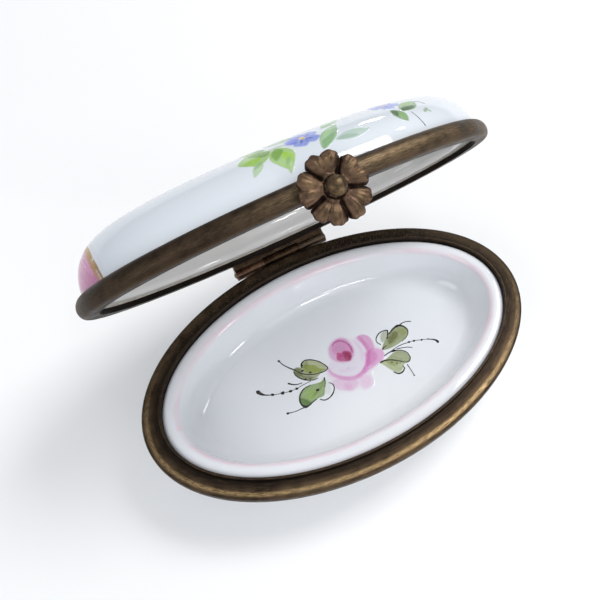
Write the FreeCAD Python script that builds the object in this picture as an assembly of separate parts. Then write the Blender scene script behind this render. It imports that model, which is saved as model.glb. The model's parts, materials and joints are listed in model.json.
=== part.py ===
"""Oval hinged porcelain pill box with patinated brass mounts.

The box is two glazed porcelain shells, a shallow base bowl and a domed lid.
Each rim is bedded in a brass mount. The two mounts are joined at the back by a
three-knuckle stand-away hinge and closed at the front by a sprung tongue that
carries a cast blossom thumb-piece.

Frame: millimetres, +Z up, +X along the long axis, -Y towards the clasp,
origin at the centre of the foot ring's resting plane. The lid and everything
fixed to it is modelled closed and then turned open about the hinge pin.
"""
import FreeCAD, Part
import math
import os

V = FreeCAD.Vector

# ---------------------------------------------------------------- dimensions
A = 30.0              # half length of the brass rim
B = 18.45             # half width of the brass rim
ZP = 9.6              # parting plane, height above the foot
OPEN_DEG = 61.1       # how far the lid stands open

# base mount (z relative to the parting plane, inset from the rim)
APRON_H = 1.5         # height of the outer apron
APRON_T = 0.72        # thickness of the outer apron
LAND_T = 0.75         # thickness of the flat land
TONGUE_OUT = 2.43     # outer wall of the raised inner lip
TONGUE_IN = 2.82      # inner wall of the raised inner lip
TONGUE_H = 0.65       # height of the raised lip above the land

# lid mount
BAND_H = 2.58         # height of the lid's band
BAND_TOP_IN = 0.88    # inset of the band's top edge
BAND_LOW_IN = 0.64    # inset of the band's lower edge
LID_FLANGE_IN = 2.30  # inner wall of the lid's parting flange
LID_FLANGE_T = 0.75

# lid porcelain
DOME_IN = 1.32        # inset of the dome where it leaves the band
DOME_H = 7.37         # dome height above the band
DOME_N = 3.1          # fullness of the dome
DOME_M = 1.8
DOME_C = 0.36         # how slowly the length shrinks towards the crown
WALL = 2.2            # porcelain thickness of the lid

# hinge
HINGE_DY = 1.207      # hinge axis behind the rim
HINGE_DZ = -1.207     # hinge axis from the parting plane
HINGE_HALF = 7.85     # half length of the barrel
KN_R = 0.90           # barrel radius
KN_C = 3.10           # half length of the centre knuckle
KN_GAP = 0.06         # end gap between knuckles
LEAF_CLEAR = 0.10     # radial gap from the lid's leaf to the centre knuckle
PIN_R = 0.50
PIN_RUN = 0.04        # radial running clearance in the centre knuckle

# clasp
TONGUE_W = 3.2        # width of the clasp tongue
CLASP_T = 0.5         # thickness of the clasp tongue
CLASP_GAP = 0.08      # clearance between the tongue and the base apron
BLOSSOM_R = 4.40      # reach of the petals
RIVET_R = 0.55

HY = B + HINGE_DY
HZ = ZP + HINGE_DZ


# ------------------------------------------------------------------- helpers
def ins(i, z):
    """Ellipse a constant inset inside the rim, at height z."""
    return (A - i, B - i, z)


def ring(s):
    """Closed edge of one elliptical section (half length, half width, z)."""
    a, b, z = s
    e = Part.Ellipse(V(0, 0, z), a, b)
    return Part.Wire([e.toShape()])


def skin(points):
    """One surface through two or more elliptical sections. Two sections at one
    height bound a plane face."""
    wires = [ring(p) for p in points]
    if len(points) == 2 and abs(points[0][2] - points[1][2]) < 1e-9:
        return Part.makeFace(wires, "Part::FaceMakerBullseye").Faces
    return Part.makeLoft(wires, False, len(points) == 2).Faces


def cap(s):
    return Part.Face(ring(s))


def solid_from(faces):
    shell = Part.makeShell(faces)
    shell.sewShape()
    if shell.ShapeType != "Shell":
        shell = shell.Shells[0]
    s = Part.Solid(shell)
    if s.Volume < 0:
        s.reverse()
    if not s.isValid():
        s.fix(1e-4, 1e-4, 1e-4)
    if s.Volume < 0:
        s.reverse()
    return s


def closed_ring(segments):
    """Ring whose section is a closed loop of segments. Each segment is a list
    of sections that starts where the one before it ended."""
    faces = []
    for k, seg in enumerate(segments):
        start = segments[k - 1][-1] if k else segments[-1][-1]
        faces += skin([start] + seg)
    return solid_from(faces)


def turned(first, segments):
    """Body bounded by a flat cap, a run of segments and a second flat cap."""
    faces = [cap(first)]
    last = first
    for seg in segments:
        faces += skin([last] + seg)
        last = seg[-1]
    faces.append(cap(last))
    return solid_from(faces)


def box(x0, x1, y0, y1, z0, z1):
    return Part.makeBox(x1 - x0, y1 - y0, z1 - z0, V(x0, y0, z0))


def prism_x(pts, x0, x1):
    """Prism along X from a list of (y, z)."""
    w = Part.makePolygon([V(x0, y, z) for y, z in pts] + [V(x0, *pts[0])])
    return Part.Face(w).extrude(V(x1 - x0, 0, 0))


def cyl_x(r, x0, x1, y, z):
    return Part.makeCylinder(r, x1 - x0, V(x0, y, z), V(1, 0, 0))


def one(s):
    """The single solid of a boolean result."""
    sol = s.Solids
    assert len(sol) == 1, len(sol)
    return sol[0]


# ---------------------------------------------------------------- base bowl
def scaled(a, b, k, z):
    return (a * k, b * k, z)


zb = ZP - APRON_H
FLOOR_A, FLOOR_B = A - 8.2, B - 8.2
base_bowl = turned(
    ins(10.4, 0.9),
    [
        # recess wall, foot ring, outer wall up to the apron
        [ins(10.25, 0.45), ins(9.95, 0.12), ins(9.7, 0.0)],
        [ins(8.35, 0.0)],
        [ins(8.12, 0.10), ins(7.98, 0.35), ins(8.0, 0.7)],
        [ins(7.75, 1.05), ins(7.2, 1.45), ins(6.3, 2.0), ins(5.2, 2.7),
         ins(4.15, 3.5), ins(3.2, 4.4), ins(2.35, 5.4), ins(1.65, 6.4),
         ins(1.12, 7.3), ins(0.80, zb - 0.05)],
        [ins(0.74, zb + 0.02)],
        [ins(0.74, zb + 0.25)],
        [ins(0.95, zb + 0.25)],
        [ins(0.95, ZP - 0.95)],
        [ins(2.84, ZP - 0.95)],
        [ins(2.84, ZP - 0.32)],
        # rolled lip
        [ins(3.02, ZP - 0.10), ins(3.4, ZP + 0.05), ins(3.95, ZP + 0.10),
         ins(4.45, ZP + 0.03), ins(4.85, ZP - 0.20), ins(5.10, ZP - 0.62)],
        # bowl wall and floor
        [ins(5.38, ZP - 1.5), ins(5.75, ZP - 2.6), ins(6.15, ZP - 3.6),
         ins(6.7, ZP - 4.5), ins(7.4, ZP - 5.15), ins(8.2, ZP - 5.5)],
        [scaled(FLOOR_A, FLOOR_B, 0.88, ZP - 5.72),
         scaled(FLOOR_A, FLOOR_B, 0.7, ZP - 5.92),
         scaled(FLOOR_A, FLOOR_B, 0.5, ZP - 6.07),
         scaled(FLOOR_A, FLOOR_B, 0.3, ZP - 6.16),
         scaled(FLOOR_A, FLOOR_B, 0.12, ZP - 6.2)],
    ],
)

# --------------------------------------------------------------- base mount
base_bezel = closed_ring([
    [ins(0.42, ZP)],
    [ins(0.20, ZP - 0.05), ins(0.05, ZP - 0.20), ins(0.0, ZP - 0.42)],
    [ins(0.0, ZP - 0.95)],
    [ins(0.04, ZP - 1.2), ins(0.15, ZP - 1.40), ins(0.33, ZP - APRON_H)],
    [ins(APRON_T, ZP - APRON_H)],
    [ins(APRON_T, ZP - LAND_T)],
    [ins(TONGUE_OUT - 0.01, ZP - LAND_T)],
    [ins(TONGUE_OUT - 0.01, ZP)],
])

base_lip_ring = closed_ring([
    [ins(TONGUE_OUT, ZP + TONGUE_H - 0.14)],
    [ins(TONGUE_OUT + 0.04, ZP + TONGUE_H - 0.04),
     ins(TONGUE_OUT + 0.14, ZP + TONGUE_H)],
    [ins(TONGUE_IN - 0.14, ZP + TONGUE_H)],
    [ins(TONGUE_IN - 0.04, ZP + TONGUE_H - 0.04),
     ins(TONGUE_IN, ZP + TONGUE_H - 0.14)],
    [ins(TONGUE_IN, ZP - 0.94)],
    [ins(TONGUE_OUT, ZP - 0.94)],
])

base_rim_cement = closed_ring([
    [ins(2.41, ZP - 0.76)],
    [ins(2.41, ZP - 0.94)],
    [ins(0.94, ZP - 0.94)],
    [ins(0.94, zb + 0.27)],
    [ins(0.73, zb + 0.27)],
    [ins(0.73, ZP - 0.76)],
])

# ---------------------------------------------------------------- lid mount
lid_bezel = closed_ring([
    [ins(BAND_LOW_IN, ZP)],
    [ins(0.40, ZP + 0.14), ins(0.18, ZP + 0.42), ins(0.04, ZP + 0.78),
     ins(0.0, ZP + 1.10), ins(0.05, ZP + 1.55), ins(0.22, ZP + 1.98),
     ins(0.50, ZP + 2.33), ins(BAND_TOP_IN, ZP + BAND_H)],
    [ins(1.30, ZP + BAND_H)],
    [ins(1.30, ZP + LID_FLANGE_T)],
    [ins(LID_FLANGE_IN, ZP + LID_FLANGE_T)],
    [ins(LID_FLANGE_IN, ZP)],
])

lid_rim_cement = closed_ring([
    [ins(2.28, ZP + 0.76)],
    [ins(2.28, ZP + 0.94)],
    [ins(1.54, ZP + 0.94)],
    [ins(1.54, ZP + 2.18)],
    [ins(1.31, ZP + 2.18)],
    [ins(1.31, ZP + 0.76)],
])

# ----------------------------------------------------------------- lid dome
DA, DB = A - DOME_IN, B - DOME_IN


def dome_section(a1, b1, z0, h, rho):
    b = b1 * rho
    a = a1 * rho / (rho + DOME_C * (1.0 - rho))
    z = z0 + h * (1.0 - rho ** DOME_N) ** (1.0 / DOME_M)
    return (a, b, z)


RHO_OUT = [0.998, 0.990, 0.975, 0.95, 0.915, 0.87, 0.81, 0.74, 0.66, 0.57,
           0.47, 0.36, 0.25, 0.14, 0.05]
RHO_IN = [0.998, 0.985, 0.96, 0.92, 0.86, 0.78, 0.68, 0.56, 0.42, 0.25, 0.10]
zt = ZP + BAND_H
out_pts = [dome_section(DA, DB, zt, DOME_H, r) for r in RHO_OUT]
IA, IB = A - 4.55, B - 4.55
in_pts = [dome_section(IA, IB, ZP + 2.1, BAND_H + DOME_H - WALL - 2.1, r)
          for r in RHO_IN]
lid_dome = turned(
    in_pts[-1],
    [
        in_pts[-2::-1] + [ins(4.55, ZP + 2.05)],
        [ins(4.47, ZP + 1.55), ins(4.2, ZP + 1.15), ins(3.75, ZP + 0.97),
         ins(3.2, ZP + 0.95)],
        [ins(1.56, ZP + 0.95)],
        [ins(1.56, ZP + 2.20)],
        [ins(DOME_IN, ZP + 2.20)],
        [ins(DOME_IN, zt)],
        out_pts,
    ],
)

# -------------------------------------------------------------------- hinge
bore_run = cyl_x(PIN_R + PIN_RUN, -KN_C - 1, KN_C + 1, HY, HZ)
bore_tight = cyl_x(PIN_R, -HINGE_HALF - 1, HINGE_HALF + 1, HY, HZ)
base_env = base_bezel
lid_env = lid_bezel

# centre knuckle: barrel and a low solder web into the apron of the base mount
web = prism_x([(B - 0.6, HZ - 0.55), (HY - 0.25, HZ - KN_R * 0.98), (HY, HZ),
               (HY - 0.60, HZ + 0.15), (B - 0.6, HZ + 0.15)], -KN_C, KN_C)
knc = cyl_x(KN_R, -KN_C, KN_C, HY, HZ).fuse(web)
knc = knc.cut(base_env).cut(bore_run)
parts_ = [s for s in knc.Solids if s.BoundBox.YMax > HY]
base_hinge_knuckle = one(Part.makeCompound(parts_))


def lid_knuckle(x0, x1):
    """Outer knuckle: a plain tube."""
    return cyl_x(KN_R, x0, x1, HY, HZ).cut(bore_tight)


lid_hinge_knuckle_left = lid_knuckle(-HINGE_HALF, -KN_C - KN_GAP)
lid_hinge_knuckle_right = lid_knuckle(KN_C + KN_GAP, HINGE_HALF)

# leaf: one strip bent over the back of the lid's band, cradling the two outer
# tubes and standing clear of the centre one
leaf = prism_x([(HY - 0.62, HZ + 0.60), (HY + 0.30, HZ + 0.60), (HY + 0.45, HZ + 0.85),
                (HY - 0.05, HZ + 1.75), (HY - 1.0, HZ + 3.15),
                (HY - 1.9, HZ + 3.45), (HY - 2.6, HZ + 3.1),
                (HY - 2.6, ZP + 0.09), (HY - 0.62, ZP + 0.09)],
               -HINGE_HALF, HINGE_HALF)
leaf = leaf.cut(lid_env)
leaf = leaf.cut(cyl_x(KN_R, -HINGE_HALF - 1, HINGE_HALF + 1, HY, HZ))
leaf = leaf.cut(cyl_x(KN_R + LEAF_CLEAR, -KN_C - KN_GAP, KN_C + KN_GAP, HY, HZ))
leaf = leaf.cut(box(-KN_C - KN_GAP, KN_C + KN_GAP, HY - 1.5, HY + 1.5, HZ, HZ + 0.92))
keep = [s for s in leaf.Solids if s.CenterOfMass.y > B - 0.2]
lid_hinge_leaf = one(Part.makeCompound(keep))

# pin, peened to a low dome at each end
hinge_pin = cyl_x(PIN_R, -HINGE_HALF, HINGE_HALF, HY, HZ)
for sgn in (-1, 1):
    head = Part.makeSphere(0.62, V(sgn * (HINGE_HALF - 0.30), HY, HZ))
    keep = (box(HINGE_HALF, HINGE_HALF + 1, HY - 1, HY + 1, HZ - 1, HZ + 1)
            if sgn > 0 else
            box(-HINGE_HALF - 1, -HINGE_HALF, HY - 1, HY + 1, HZ - 1, HZ + 1))
    hinge_pin = hinge_pin.fuse(head.common(keep))
hinge_pin = one(hinge_pin.removeSplitter())

# -------------------------------------------------------------------- clasp
FY = -B               # front of the rim
yo = FY - CLASP_GAP - CLASP_T
hw = TONGUE_W / 2
plate = box(-hw, hw, yo, FY - CLASP_GAP, ZP - 2.35, ZP + 2.30)
root = box(-hw, hw, FY - CLASP_GAP - 0.01, FY + 1.0, ZP + 0.22, ZP + 2.30)
nib = prism_x([(FY - CLASP_GAP - 0.01, ZP - 2.15), (FY - CLASP_GAP - 0.01, ZP - 1.62),
               (FY + 0.10, ZP - 1.66), (FY + 0.10, ZP - 1.82)], -1.0, 1.0)
tong = plate.fuse(root).fuse(nib).cut(lid_env)
keep = [s for s in tong.Solids if s.BoundBox.YMin < FY - 0.4]
tong = one(Part.makeCompound(keep))
rivet_hole = Part.makeCylinder(RIVET_R, 1.2, V(0, yo - 0.2, ZP), V(0, 1, 0))
clasp_tongue = one(tong.cut(rivet_hole))


# five petals around the rivet, each notched at its tip into two domed lobes,
# flat at the back on the tongue
PETAL_R = 1.70        # radius of one lobe at its back
PETAL_T = 1.10        # rise of one lobe
PETAL_SPLIT = 15.0    # each lobe's turn from its petal's middle, degrees
SPH = (PETAL_R ** 2 + PETAL_T ** 2) / (2 * PETAL_T)
blossom = Part.makeCylinder(2.4, 0.8, V(0, yo, ZP), V(0, -1, 0))
for k in range(5):
    for side in (-1, 1):
        ang = math.radians(90 + 72 * k + side * PETAL_SPLIT)
        r0 = BLOSSOM_R - PETAL_R
        blossom = blossom.fuse(Part.makeSphere(
            SPH, V(r0 * math.cos(ang), yo + SPH - PETAL_T, ZP + r0 * math.sin(ang))))
front = box(-6, 6, yo - 4, yo, ZP - 6, ZP + 6)
blossom = blossom.common(front).removeSplitter()
blossom = blossom.cut(Part.makeCylinder(RIVET_R, 3, V(0, yo + 0.1, ZP), V(0, -1, 0)))
clasp_blossom = one(blossom)

# rivet with a domed head, its shank through the blossom and the tongue
shank_l = CLASP_T + 1.30
rivet = Part.makeCylinder(RIVET_R, shank_l, V(0, yo + CLASP_T, ZP), V(0, -1, 0))
headc = Part.makeCylinder(1.15, 0.30, V(0, yo - 1.30, ZP), V(0, -1, 0))
dome = Part.makeSphere(1.35, V(0, yo - 0.92, ZP)).common(
    box(-2, 2, yo - 3, yo - 1.60, ZP - 2, ZP + 2))
clasp_rivet = one(rivet.fuse(headc).fuse(dome).removeSplitter())

# ------------------------------------------------------------------- export
base_group = {
    "base_bowl": base_bowl,
    "base_bezel": base_bezel,
    "base_lip_ring": base_lip_ring,
    "base_rim_cement": base_rim_cement,
    "base_hinge_knuckle": base_hinge_knuckle,
}
lid_group = {
    "lid_dome": lid_dome,
    "lid_bezel": lid_bezel,
    "lid_rim_cement": lid_rim_cement,
    "lid_hinge_leaf": lid_hinge_leaf,
    "lid_hinge_knuckle_left": lid_hinge_knuckle_left,
    "lid_hinge_knuckle_right": lid_hinge_knuckle_right,
    "hinge_pin": hinge_pin,
    "clasp_tongue": clasp_tongue,
    "clasp_blossom": clasp_blossom,
    "clasp_rivet": clasp_rivet,
}
os.makedirs("parts", exist_ok=True)
for name, shape in base_group.items():
    shape.exportStep("parts/%s.step" % name)
for name, shape in lid_group.items():
    s = shape.copy()
    s.rotate(V(0, HY, HZ), V(-1, 0, 0), OPEN_DEG)
    lid_group[name] = s
    s.exportStep("parts/%s.step" % name)
for name, s in list(base_group.items()) + list(lid_group.items()):
    bb = s.BoundBox
    print("%-26s valid=%s solids=%d vol=%.2f  x %.2f..%.2f y %.2f..%.2f z %.2f..%.2f"
          % (name, s.isValid(), len(s.Solids), s.Volume, bb.XMin, bb.XMax,
             bb.YMin, bb.YMax, bb.ZMin, bb.ZMax))
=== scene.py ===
import json
import math

import bmesh
import bpy
import numpy as np
from mathutils import Matrix, Vector
from mathutils.bvhtree import BVHTree


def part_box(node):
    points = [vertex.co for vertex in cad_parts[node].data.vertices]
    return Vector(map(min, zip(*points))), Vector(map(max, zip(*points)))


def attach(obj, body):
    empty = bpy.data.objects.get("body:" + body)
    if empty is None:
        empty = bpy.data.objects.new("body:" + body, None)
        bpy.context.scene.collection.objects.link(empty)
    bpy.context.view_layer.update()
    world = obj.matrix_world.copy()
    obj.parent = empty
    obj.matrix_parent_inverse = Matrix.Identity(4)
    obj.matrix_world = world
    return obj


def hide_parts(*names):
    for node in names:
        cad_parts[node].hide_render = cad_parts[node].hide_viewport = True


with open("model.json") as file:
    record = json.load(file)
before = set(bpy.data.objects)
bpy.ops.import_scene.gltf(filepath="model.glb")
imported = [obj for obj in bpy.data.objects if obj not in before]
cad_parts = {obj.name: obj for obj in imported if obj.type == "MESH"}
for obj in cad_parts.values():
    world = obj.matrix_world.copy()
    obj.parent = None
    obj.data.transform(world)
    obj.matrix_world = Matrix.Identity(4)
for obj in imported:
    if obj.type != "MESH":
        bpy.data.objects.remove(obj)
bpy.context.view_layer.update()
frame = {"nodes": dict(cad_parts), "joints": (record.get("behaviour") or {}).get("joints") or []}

NODES = frame["nodes"]
MM = 0.001

# The design's own dimensions, in mm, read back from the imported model.
bz_lo, bz_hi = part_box("base_bezel")
A = (bz_hi.x - bz_lo.x) / 2 / MM          # half length of the brass rim
B = (bz_hi.y - bz_lo.y) / 2 / MM          # half width
ZP = bz_hi.z / MM                         # parting plane
pin_lo, pin_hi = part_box("hinge_pin")
HY = (pin_lo.y + pin_hi.y) / 2 / MM       # hinge axis
HZ = (pin_lo.z + pin_hi.z) / 2 / MM
OPEN = math.radians(-frame["joints"][0]["range_deg"][0])
COS_O, SIN_O = math.cos(OPEN), math.sin(OPEN)


def to_open(p):
    """A point of the closed lid, in mm, at the rest pose."""
    p = np.asarray(p, float)
    y, z = p[..., 1] - HY, p[..., 2] - HZ
    return np.stack(
        [p[..., 0], y * COS_O + z * SIN_O + HY, -y * SIN_O + z * COS_O + HZ], -1
    )


def turn_open(v):
    """A direction of the closed lid at the rest pose."""
    v = np.asarray(v, float)
    return np.stack(
        [v[..., 0], v[..., 1] * COS_O + v[..., 2] * SIN_O,
         -v[..., 1] * SIN_O + v[..., 2] * COS_O], -1
    )


# ---------------------------------------------------------------- node helper
class Sock:
    """A node output that can be added, multiplied and so on."""

    def __init__(self, g, out):
        self.g, self.out = g, out

    def _m(self, op, other=None, third=None, clamp=False):
        return self.g.math(op, self, other, third, clamp)

    def __add__(self, o):
        return self._m("ADD", o)

    __radd__ = __add__

    def __sub__(self, o):
        return self._m("SUBTRACT", o)

    def __rsub__(self, o):
        return self.g.math("SUBTRACT", o, self)

    def __mul__(self, o):
        return self._m("MULTIPLY", o)

    __rmul__ = __mul__

    def __truediv__(self, o):
        return self._m("DIVIDE", o)

    def __rtruediv__(self, o):
        return self.g.math("DIVIDE", o, self)

    def __neg__(self):
        return self._m("MULTIPLY", -1.0)

    def __pow__(self, o):
        return self._m("POWER", o)

    def abs(self):
        return self._m("ABSOLUTE")

    def sqrt(self):
        return self._m("SQRT")

    def sin(self):
        return self._m("SINE")

    def cos(self):
        return self._m("COSINE")

    def min(self, o):
        return self._m("MINIMUM", o)

    def max(self, o):
        return self._m("MAXIMUM", o)

    def clamp(self):
        return self._m("ADD", 0.0, clamp=True)

    def step(self, lo, hi, a=0.0, b=1.0):
        """Smooth step from a at lo to b at hi."""
        n = self.g.new("ShaderNodeMapRange")
        n.interpolation_type = "SMOOTHSTEP"
        self.g.put(n.inputs["Value"], self)
        for k, v in (("From Min", lo), ("From Max", hi), ("To Min", a), ("To Max", b)):
            n.inputs[k].default_value = v
        return Sock(self.g, n.outputs["Result"])


class Graph:
    """A material's node tree with short calls."""

    def __init__(self, name):
        self.mat = bpy.data.materials.new(name)
        self.mat.use_nodes = True
        self.t = self.mat.node_tree
        self.t.nodes.clear()
        self.out = self.new("ShaderNodeOutputMaterial")
        self.bsdf = self.new("ShaderNodeBsdfPrincipled")
        self.t.links.new(self.bsdf.outputs[0], self.out.inputs["Surface"])
        self._xyz = None

    def new(self, kind):
        return self.t.nodes.new(kind)

    def put(self, inp, v):
        if isinstance(v, Sock):
            self.t.links.new(v.out, inp)
        elif isinstance(v, (tuple, list)) and inp.type == "RGBA":
            inp.default_value = (*v[:3], 1.0)
        else:
            inp.default_value = v

    def math(self, op, a, b=None, c=None, clamp=False):
        n = self.new("ShaderNodeMath")
        n.operation = op
        n.use_clamp = clamp
        for i, v in enumerate((a, b, c)):
            if v is not None:
                self.put(n.inputs[i], v)
        return Sock(self, n.outputs[0])

    def atan2(self, y, x):
        return self.math("ARCTAN2", y, x)

    def coords(self):
        n = self.new("ShaderNodeTexCoord")
        return Sock(self, n.outputs["Object"])

    def xyz(self):
        """Object position in mm."""
        if self._xyz is None:
            s = self.new("ShaderNodeSeparateXYZ")
            self.put(s.inputs[0], self.coords())
            self._xyz = [Sock(self, s.outputs[i]) * 1000.0 for i in range(3)]
        return self._xyz

    def closed_xyz(self):
        """Position on the closed lid, in mm, from the rest position."""
        x, y, z = self.xyz()
        yr, zr = y - HY, z - HZ
        return [x, yr * COS_O - zr * SIN_O + HY, yr * SIN_O + zr * COS_O + HZ]

    def vec(self, x, y, z):
        n = self.new("ShaderNodeCombineXYZ")
        for i, v in enumerate((x, y, z)):
            self.put(n.inputs[i], v)
        return Sock(self, n.outputs[0])

    def noise(self, v, scale, detail=3.0, rough=0.5, distort=0.0):
        n = self.new("ShaderNodeTexNoise")
        self.put(n.inputs["Vector"], v)
        n.inputs["Scale"].default_value = scale
        n.inputs["Detail"].default_value = detail
        n.inputs["Roughness"].default_value = rough
        n.inputs["Distortion"].default_value = distort
        return Sock(self, n.outputs["Fac"])

    def voronoi(self, v, scale, feature="F1", random=1.0):
        n = self.new("ShaderNodeTexVoronoi")
        n.feature = feature
        self.put(n.inputs["Vector"], v)
        n.inputs["Scale"].default_value = scale
        n.inputs["Randomness"].default_value = random
        return Sock(self, n.outputs["Distance"])

    def mix(self, f, a, b, mode="MIX"):
        n = self.new("ShaderNodeMix")
        n.data_type = "RGBA"
        n.blend_type = mode
        n.clamp_factor = True
        self.put(n.inputs["Factor"], f)
        self.put(n.inputs[6], a)
        self.put(n.inputs[7], b)
        return Sock(self, n.outputs[2])

    def attr(self, name):
        n = self.new("ShaderNodeAttribute")
        n.attribute_name = name
        return Sock(self, n.outputs["Color"]), Sock(self, n.outputs["Alpha"])

    def bump(self, h, strength, dist=0.0001, normal=None):
        n = self.new("ShaderNodeBump")
        n.inputs["Strength"].default_value = strength
        n.inputs["Distance"].default_value = dist
        self.put(n.inputs["Height"], h)
        if normal is not None:
            self.put(n.inputs["Normal"], normal)
        return Sock(self, n.outputs["Normal"])

    def set(self, **kw):
        names = {"color": "Base Color", "rough": "Roughness", "metal": "Metallic",
                 "normal": "Normal", "ior": "IOR", "coat": "Coat Weight",
                 "coat_rough": "Coat Roughness", "spec": "Specular IOR Level"}
        for k, v in kw.items():
            self.put(self.bsdf.inputs[names[k]], v)
        return self.mat

    # ---- rim geometry shared by the oval pieces
    def rim(self, closed=False, i0=2.0):
        """(inset inside the rim, angle round it, height above the parting plane),
        the inset by one Newton step round i0."""
        x, y, z = self.closed_xyz() if closed else self.xyz()
        i = i0
        for _ in range(2):
            a, b = A - i, B - i
            xa, yb = x / a, y / b
            xa, yb = xa * xa, yb * yb
            gval = xa + yb - 1.0
            slope = (xa / a + yb / b) * 2.0
            i = i - gval / slope
        th = self.atan2(y * (1 / B), x * (1 / A))
        return i, th, z - ZP


# ------------------------------------------------------------------ materials
def porcelain_base(g, v):
    """White glaze: a faint cloudiness, a little cooler where it lies thicker,
    rare fine specks. Returns colour, roughness, height."""
    cloud = g.noise(v, 110.0, 4.0, 0.55)
    drift = g.noise(v, 28.0, 2.0, 0.5)
    c = g.mix(drift.step(0.35, 0.68), (0.772, 0.796, 0.836), (0.812, 0.828, 0.856))
    c = g.mix(cloud.step(0.45, 0.8) * 0.35, c, (0.748, 0.778, 0.822))
    speck = g.voronoi(v, 620.0)
    rare = g.noise(v, 260.0, 0.0).step(0.72, 0.76)
    c = g.mix(speck.step(0.04, 0.09, 1.0, 0.0) * rare * 0.25, c, (0.40, 0.37, 0.34))
    rough = g.noise(v, 700.0, 3.0).step(0.3, 0.75, 0.035, 0.080)
    ripple = g.noise(v, 170.0, 2.0, 0.4) * 1.0 + g.noise(v, 900.0, 1.0) * 0.12
    return c, rough, ripple


def mat_porcelain_bowl():
    g = Graph("glazed_porcelain_bowl")
    v = g.coords()
    c, rough, h = porcelain_base(g, v)
    i, th, z = g.rim(i0=4.4)
    # brushed pale-pink line on the inner edge of the lip, uneven as it is painted
    arc = g.vec(th * 6.0, i * 1.1, 0.0)
    wob = (g.noise(g.vec(th * 2.3, 0.0, 3.0), 1.0, 3.0) - 0.5) * 1.1
    streak = g.noise(g.vec(th * 9.0, i * 7.0, 1.0), 1.0, 4.0, 0.65)
    load = g.noise(g.vec(th * 1.7, 5.0, 0.0), 1.0, 2.0).step(0.36, 0.62, 0.30, 1.0)
    d = (i - 4.75 - wob * 0.40).abs()
    line = d.step(0.12, 0.62, 1.0, 0.0) * load * streak.step(0.25, 0.62, 0.35, 1.0)
    top = z.step(-1.1, -0.35)
    c = g.mix(line * top * 0.62, c, (0.800, 0.520, 0.620))
    veil = g.noise(arc, 1.0, 2.0).step(0.35, 0.7) * i.step(3.0, 5.3, 1.0, 0.0) * top
    c = g.mix(veil * 0.18, c, (0.800, 0.700, 0.760))
    x, y, zz = g.xyz()
    # unglazed foot, slightly warmer and matt
    foot = zz.step(0.12, 0.5, 1.0, 0.0)
    c = g.mix(foot, c, (0.62, 0.57, 0.50))
    rough = rough + foot * 0.5
    return g.set(color=c, rough=rough, normal=g.bump(h, 0.08, 0.00012), ior=1.52)


# painted shade: the lid's white glaze is darkened as a whole, a shaded copy of the bowl's glaze
LID_PAINTED_SHADE = (0.855, 0.880, 0.900)


def mat_porcelain_lid():
    """White glaze with painted pink ends behind burnished gold lines."""
    g = Graph("glazed_porcelain_lid")
    v = g.coords()
    c, rough, h = porcelain_base(g, v)
    x, y, z = g.closed_xyz()
    up = z - ZP
    # painted shade over the whole lid
    c = g.mix(1.0, c, LID_PAINTED_SHADE, "MULTIPLY")
    # painted shade: where the lid's glaze faces down, on its inside, the white is replaced by a darker warm grey
    nn = g.new("ShaderNodeSeparateXYZ")
    tc = g.new("ShaderNodeTexCoord")
    g.t.links.new(tc.outputs["Normal"], nn.inputs[0])
    facing = Sock(g, nn.outputs[1]) * SIN_O + Sock(g, nn.outputs[2]) * COS_O
    lid_inside_shade = facing.step(-0.10, 0.05, 1.0, 0.0)
    c = g.mix(lid_inside_shade, c, g.mix(g.noise(v, 60.0, 3.0).step(0.3, 0.7), (0.560, 0.552, 0.535),
                               (0.615, 0.608, 0.592)))
    # end panels: bounded by a curve that bows towards the middle at the front
    bow = (y * (1 / 17.0)) ** 2.0
    right = x.step(-1.0, 1.0)
    edge = 25.95 - bow * 1.25 + right * 1.35 + (
        g.noise(g.vec(y * 0.25, z * 0.25, 0.0), 1.0, 1.0) - 0.5) * 0.3
    inside = x.abs() - edge
    panel = inside.step(-0.03, 0.05)
    brush = g.noise(g.vec(y * 0.9, z * 0.9, x * 4.0), 1.0, 4.0, 0.6)
    pink = g.mix(brush.step(0.3, 0.72), (0.500, 0.190, 0.360), (0.640, 0.310, 0.470))
    low = up.step(2.4, 5.4, 1.0, 0.0)
    pink = g.mix(low * 0.60, pink, (0.400, 0.100, 0.250))
    solid = up.step(2.60, 2.66)
    solid = solid * (1.0 - lid_inside_shade)
    c = g.mix(panel * solid, c, pink)
    line = (inside.abs()).step(0.26, 0.38, 1.0, 0.0) * solid
    halo = ((inside + 0.55).abs()).step(0.05, 0.45, 1.0, 0.0) * solid
    c = g.mix(halo * 0.30, c, (0.62, 0.58, 0.66))
    worn = g.noise(v, 900.0, 3.0, 0.6).step(0.30, 0.52, 0.35, 1.0)
    gold = line * worn
    c = g.mix(gold, c, (0.430, 0.270, 0.120))
    rough = rough + gold * 0.20
    return g.set(color=c, rough=rough, metal=gold * 0.85,
                 normal=g.bump(h, 0.08, 0.00012), ior=1.52)


def brass_common(g, v, tang, across):
    """Patinated brass: dark brown skin, mottled, with fine scratches that run
    along `tang`. Returns colour, roughness, height and masks."""
    mott = g.noise(v, 520.0, 5.0, 0.62)
    big = g.noise(v, 130.0, 3.0, 0.55)
    fine = g.noise(g.vec(tang, across * 9.0, 0.0), 1.0, 4.0, 0.7)
    scr = g.noise(g.vec(tang * 0.35, across * 26.0, 7.0), 1.0, 2.0, 0.6)
    c = g.mix(mott.step(0.30, 0.70), (0.026, 0.017, 0.011), (0.082, 0.054, 0.033))
    c = g.mix(big.step(0.42, 0.72) * 0.5, c, (0.135, 0.092, 0.053))
    return c, mott, big, fine, scr


def x_of(g):
    return g.xyz()[0]


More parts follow.
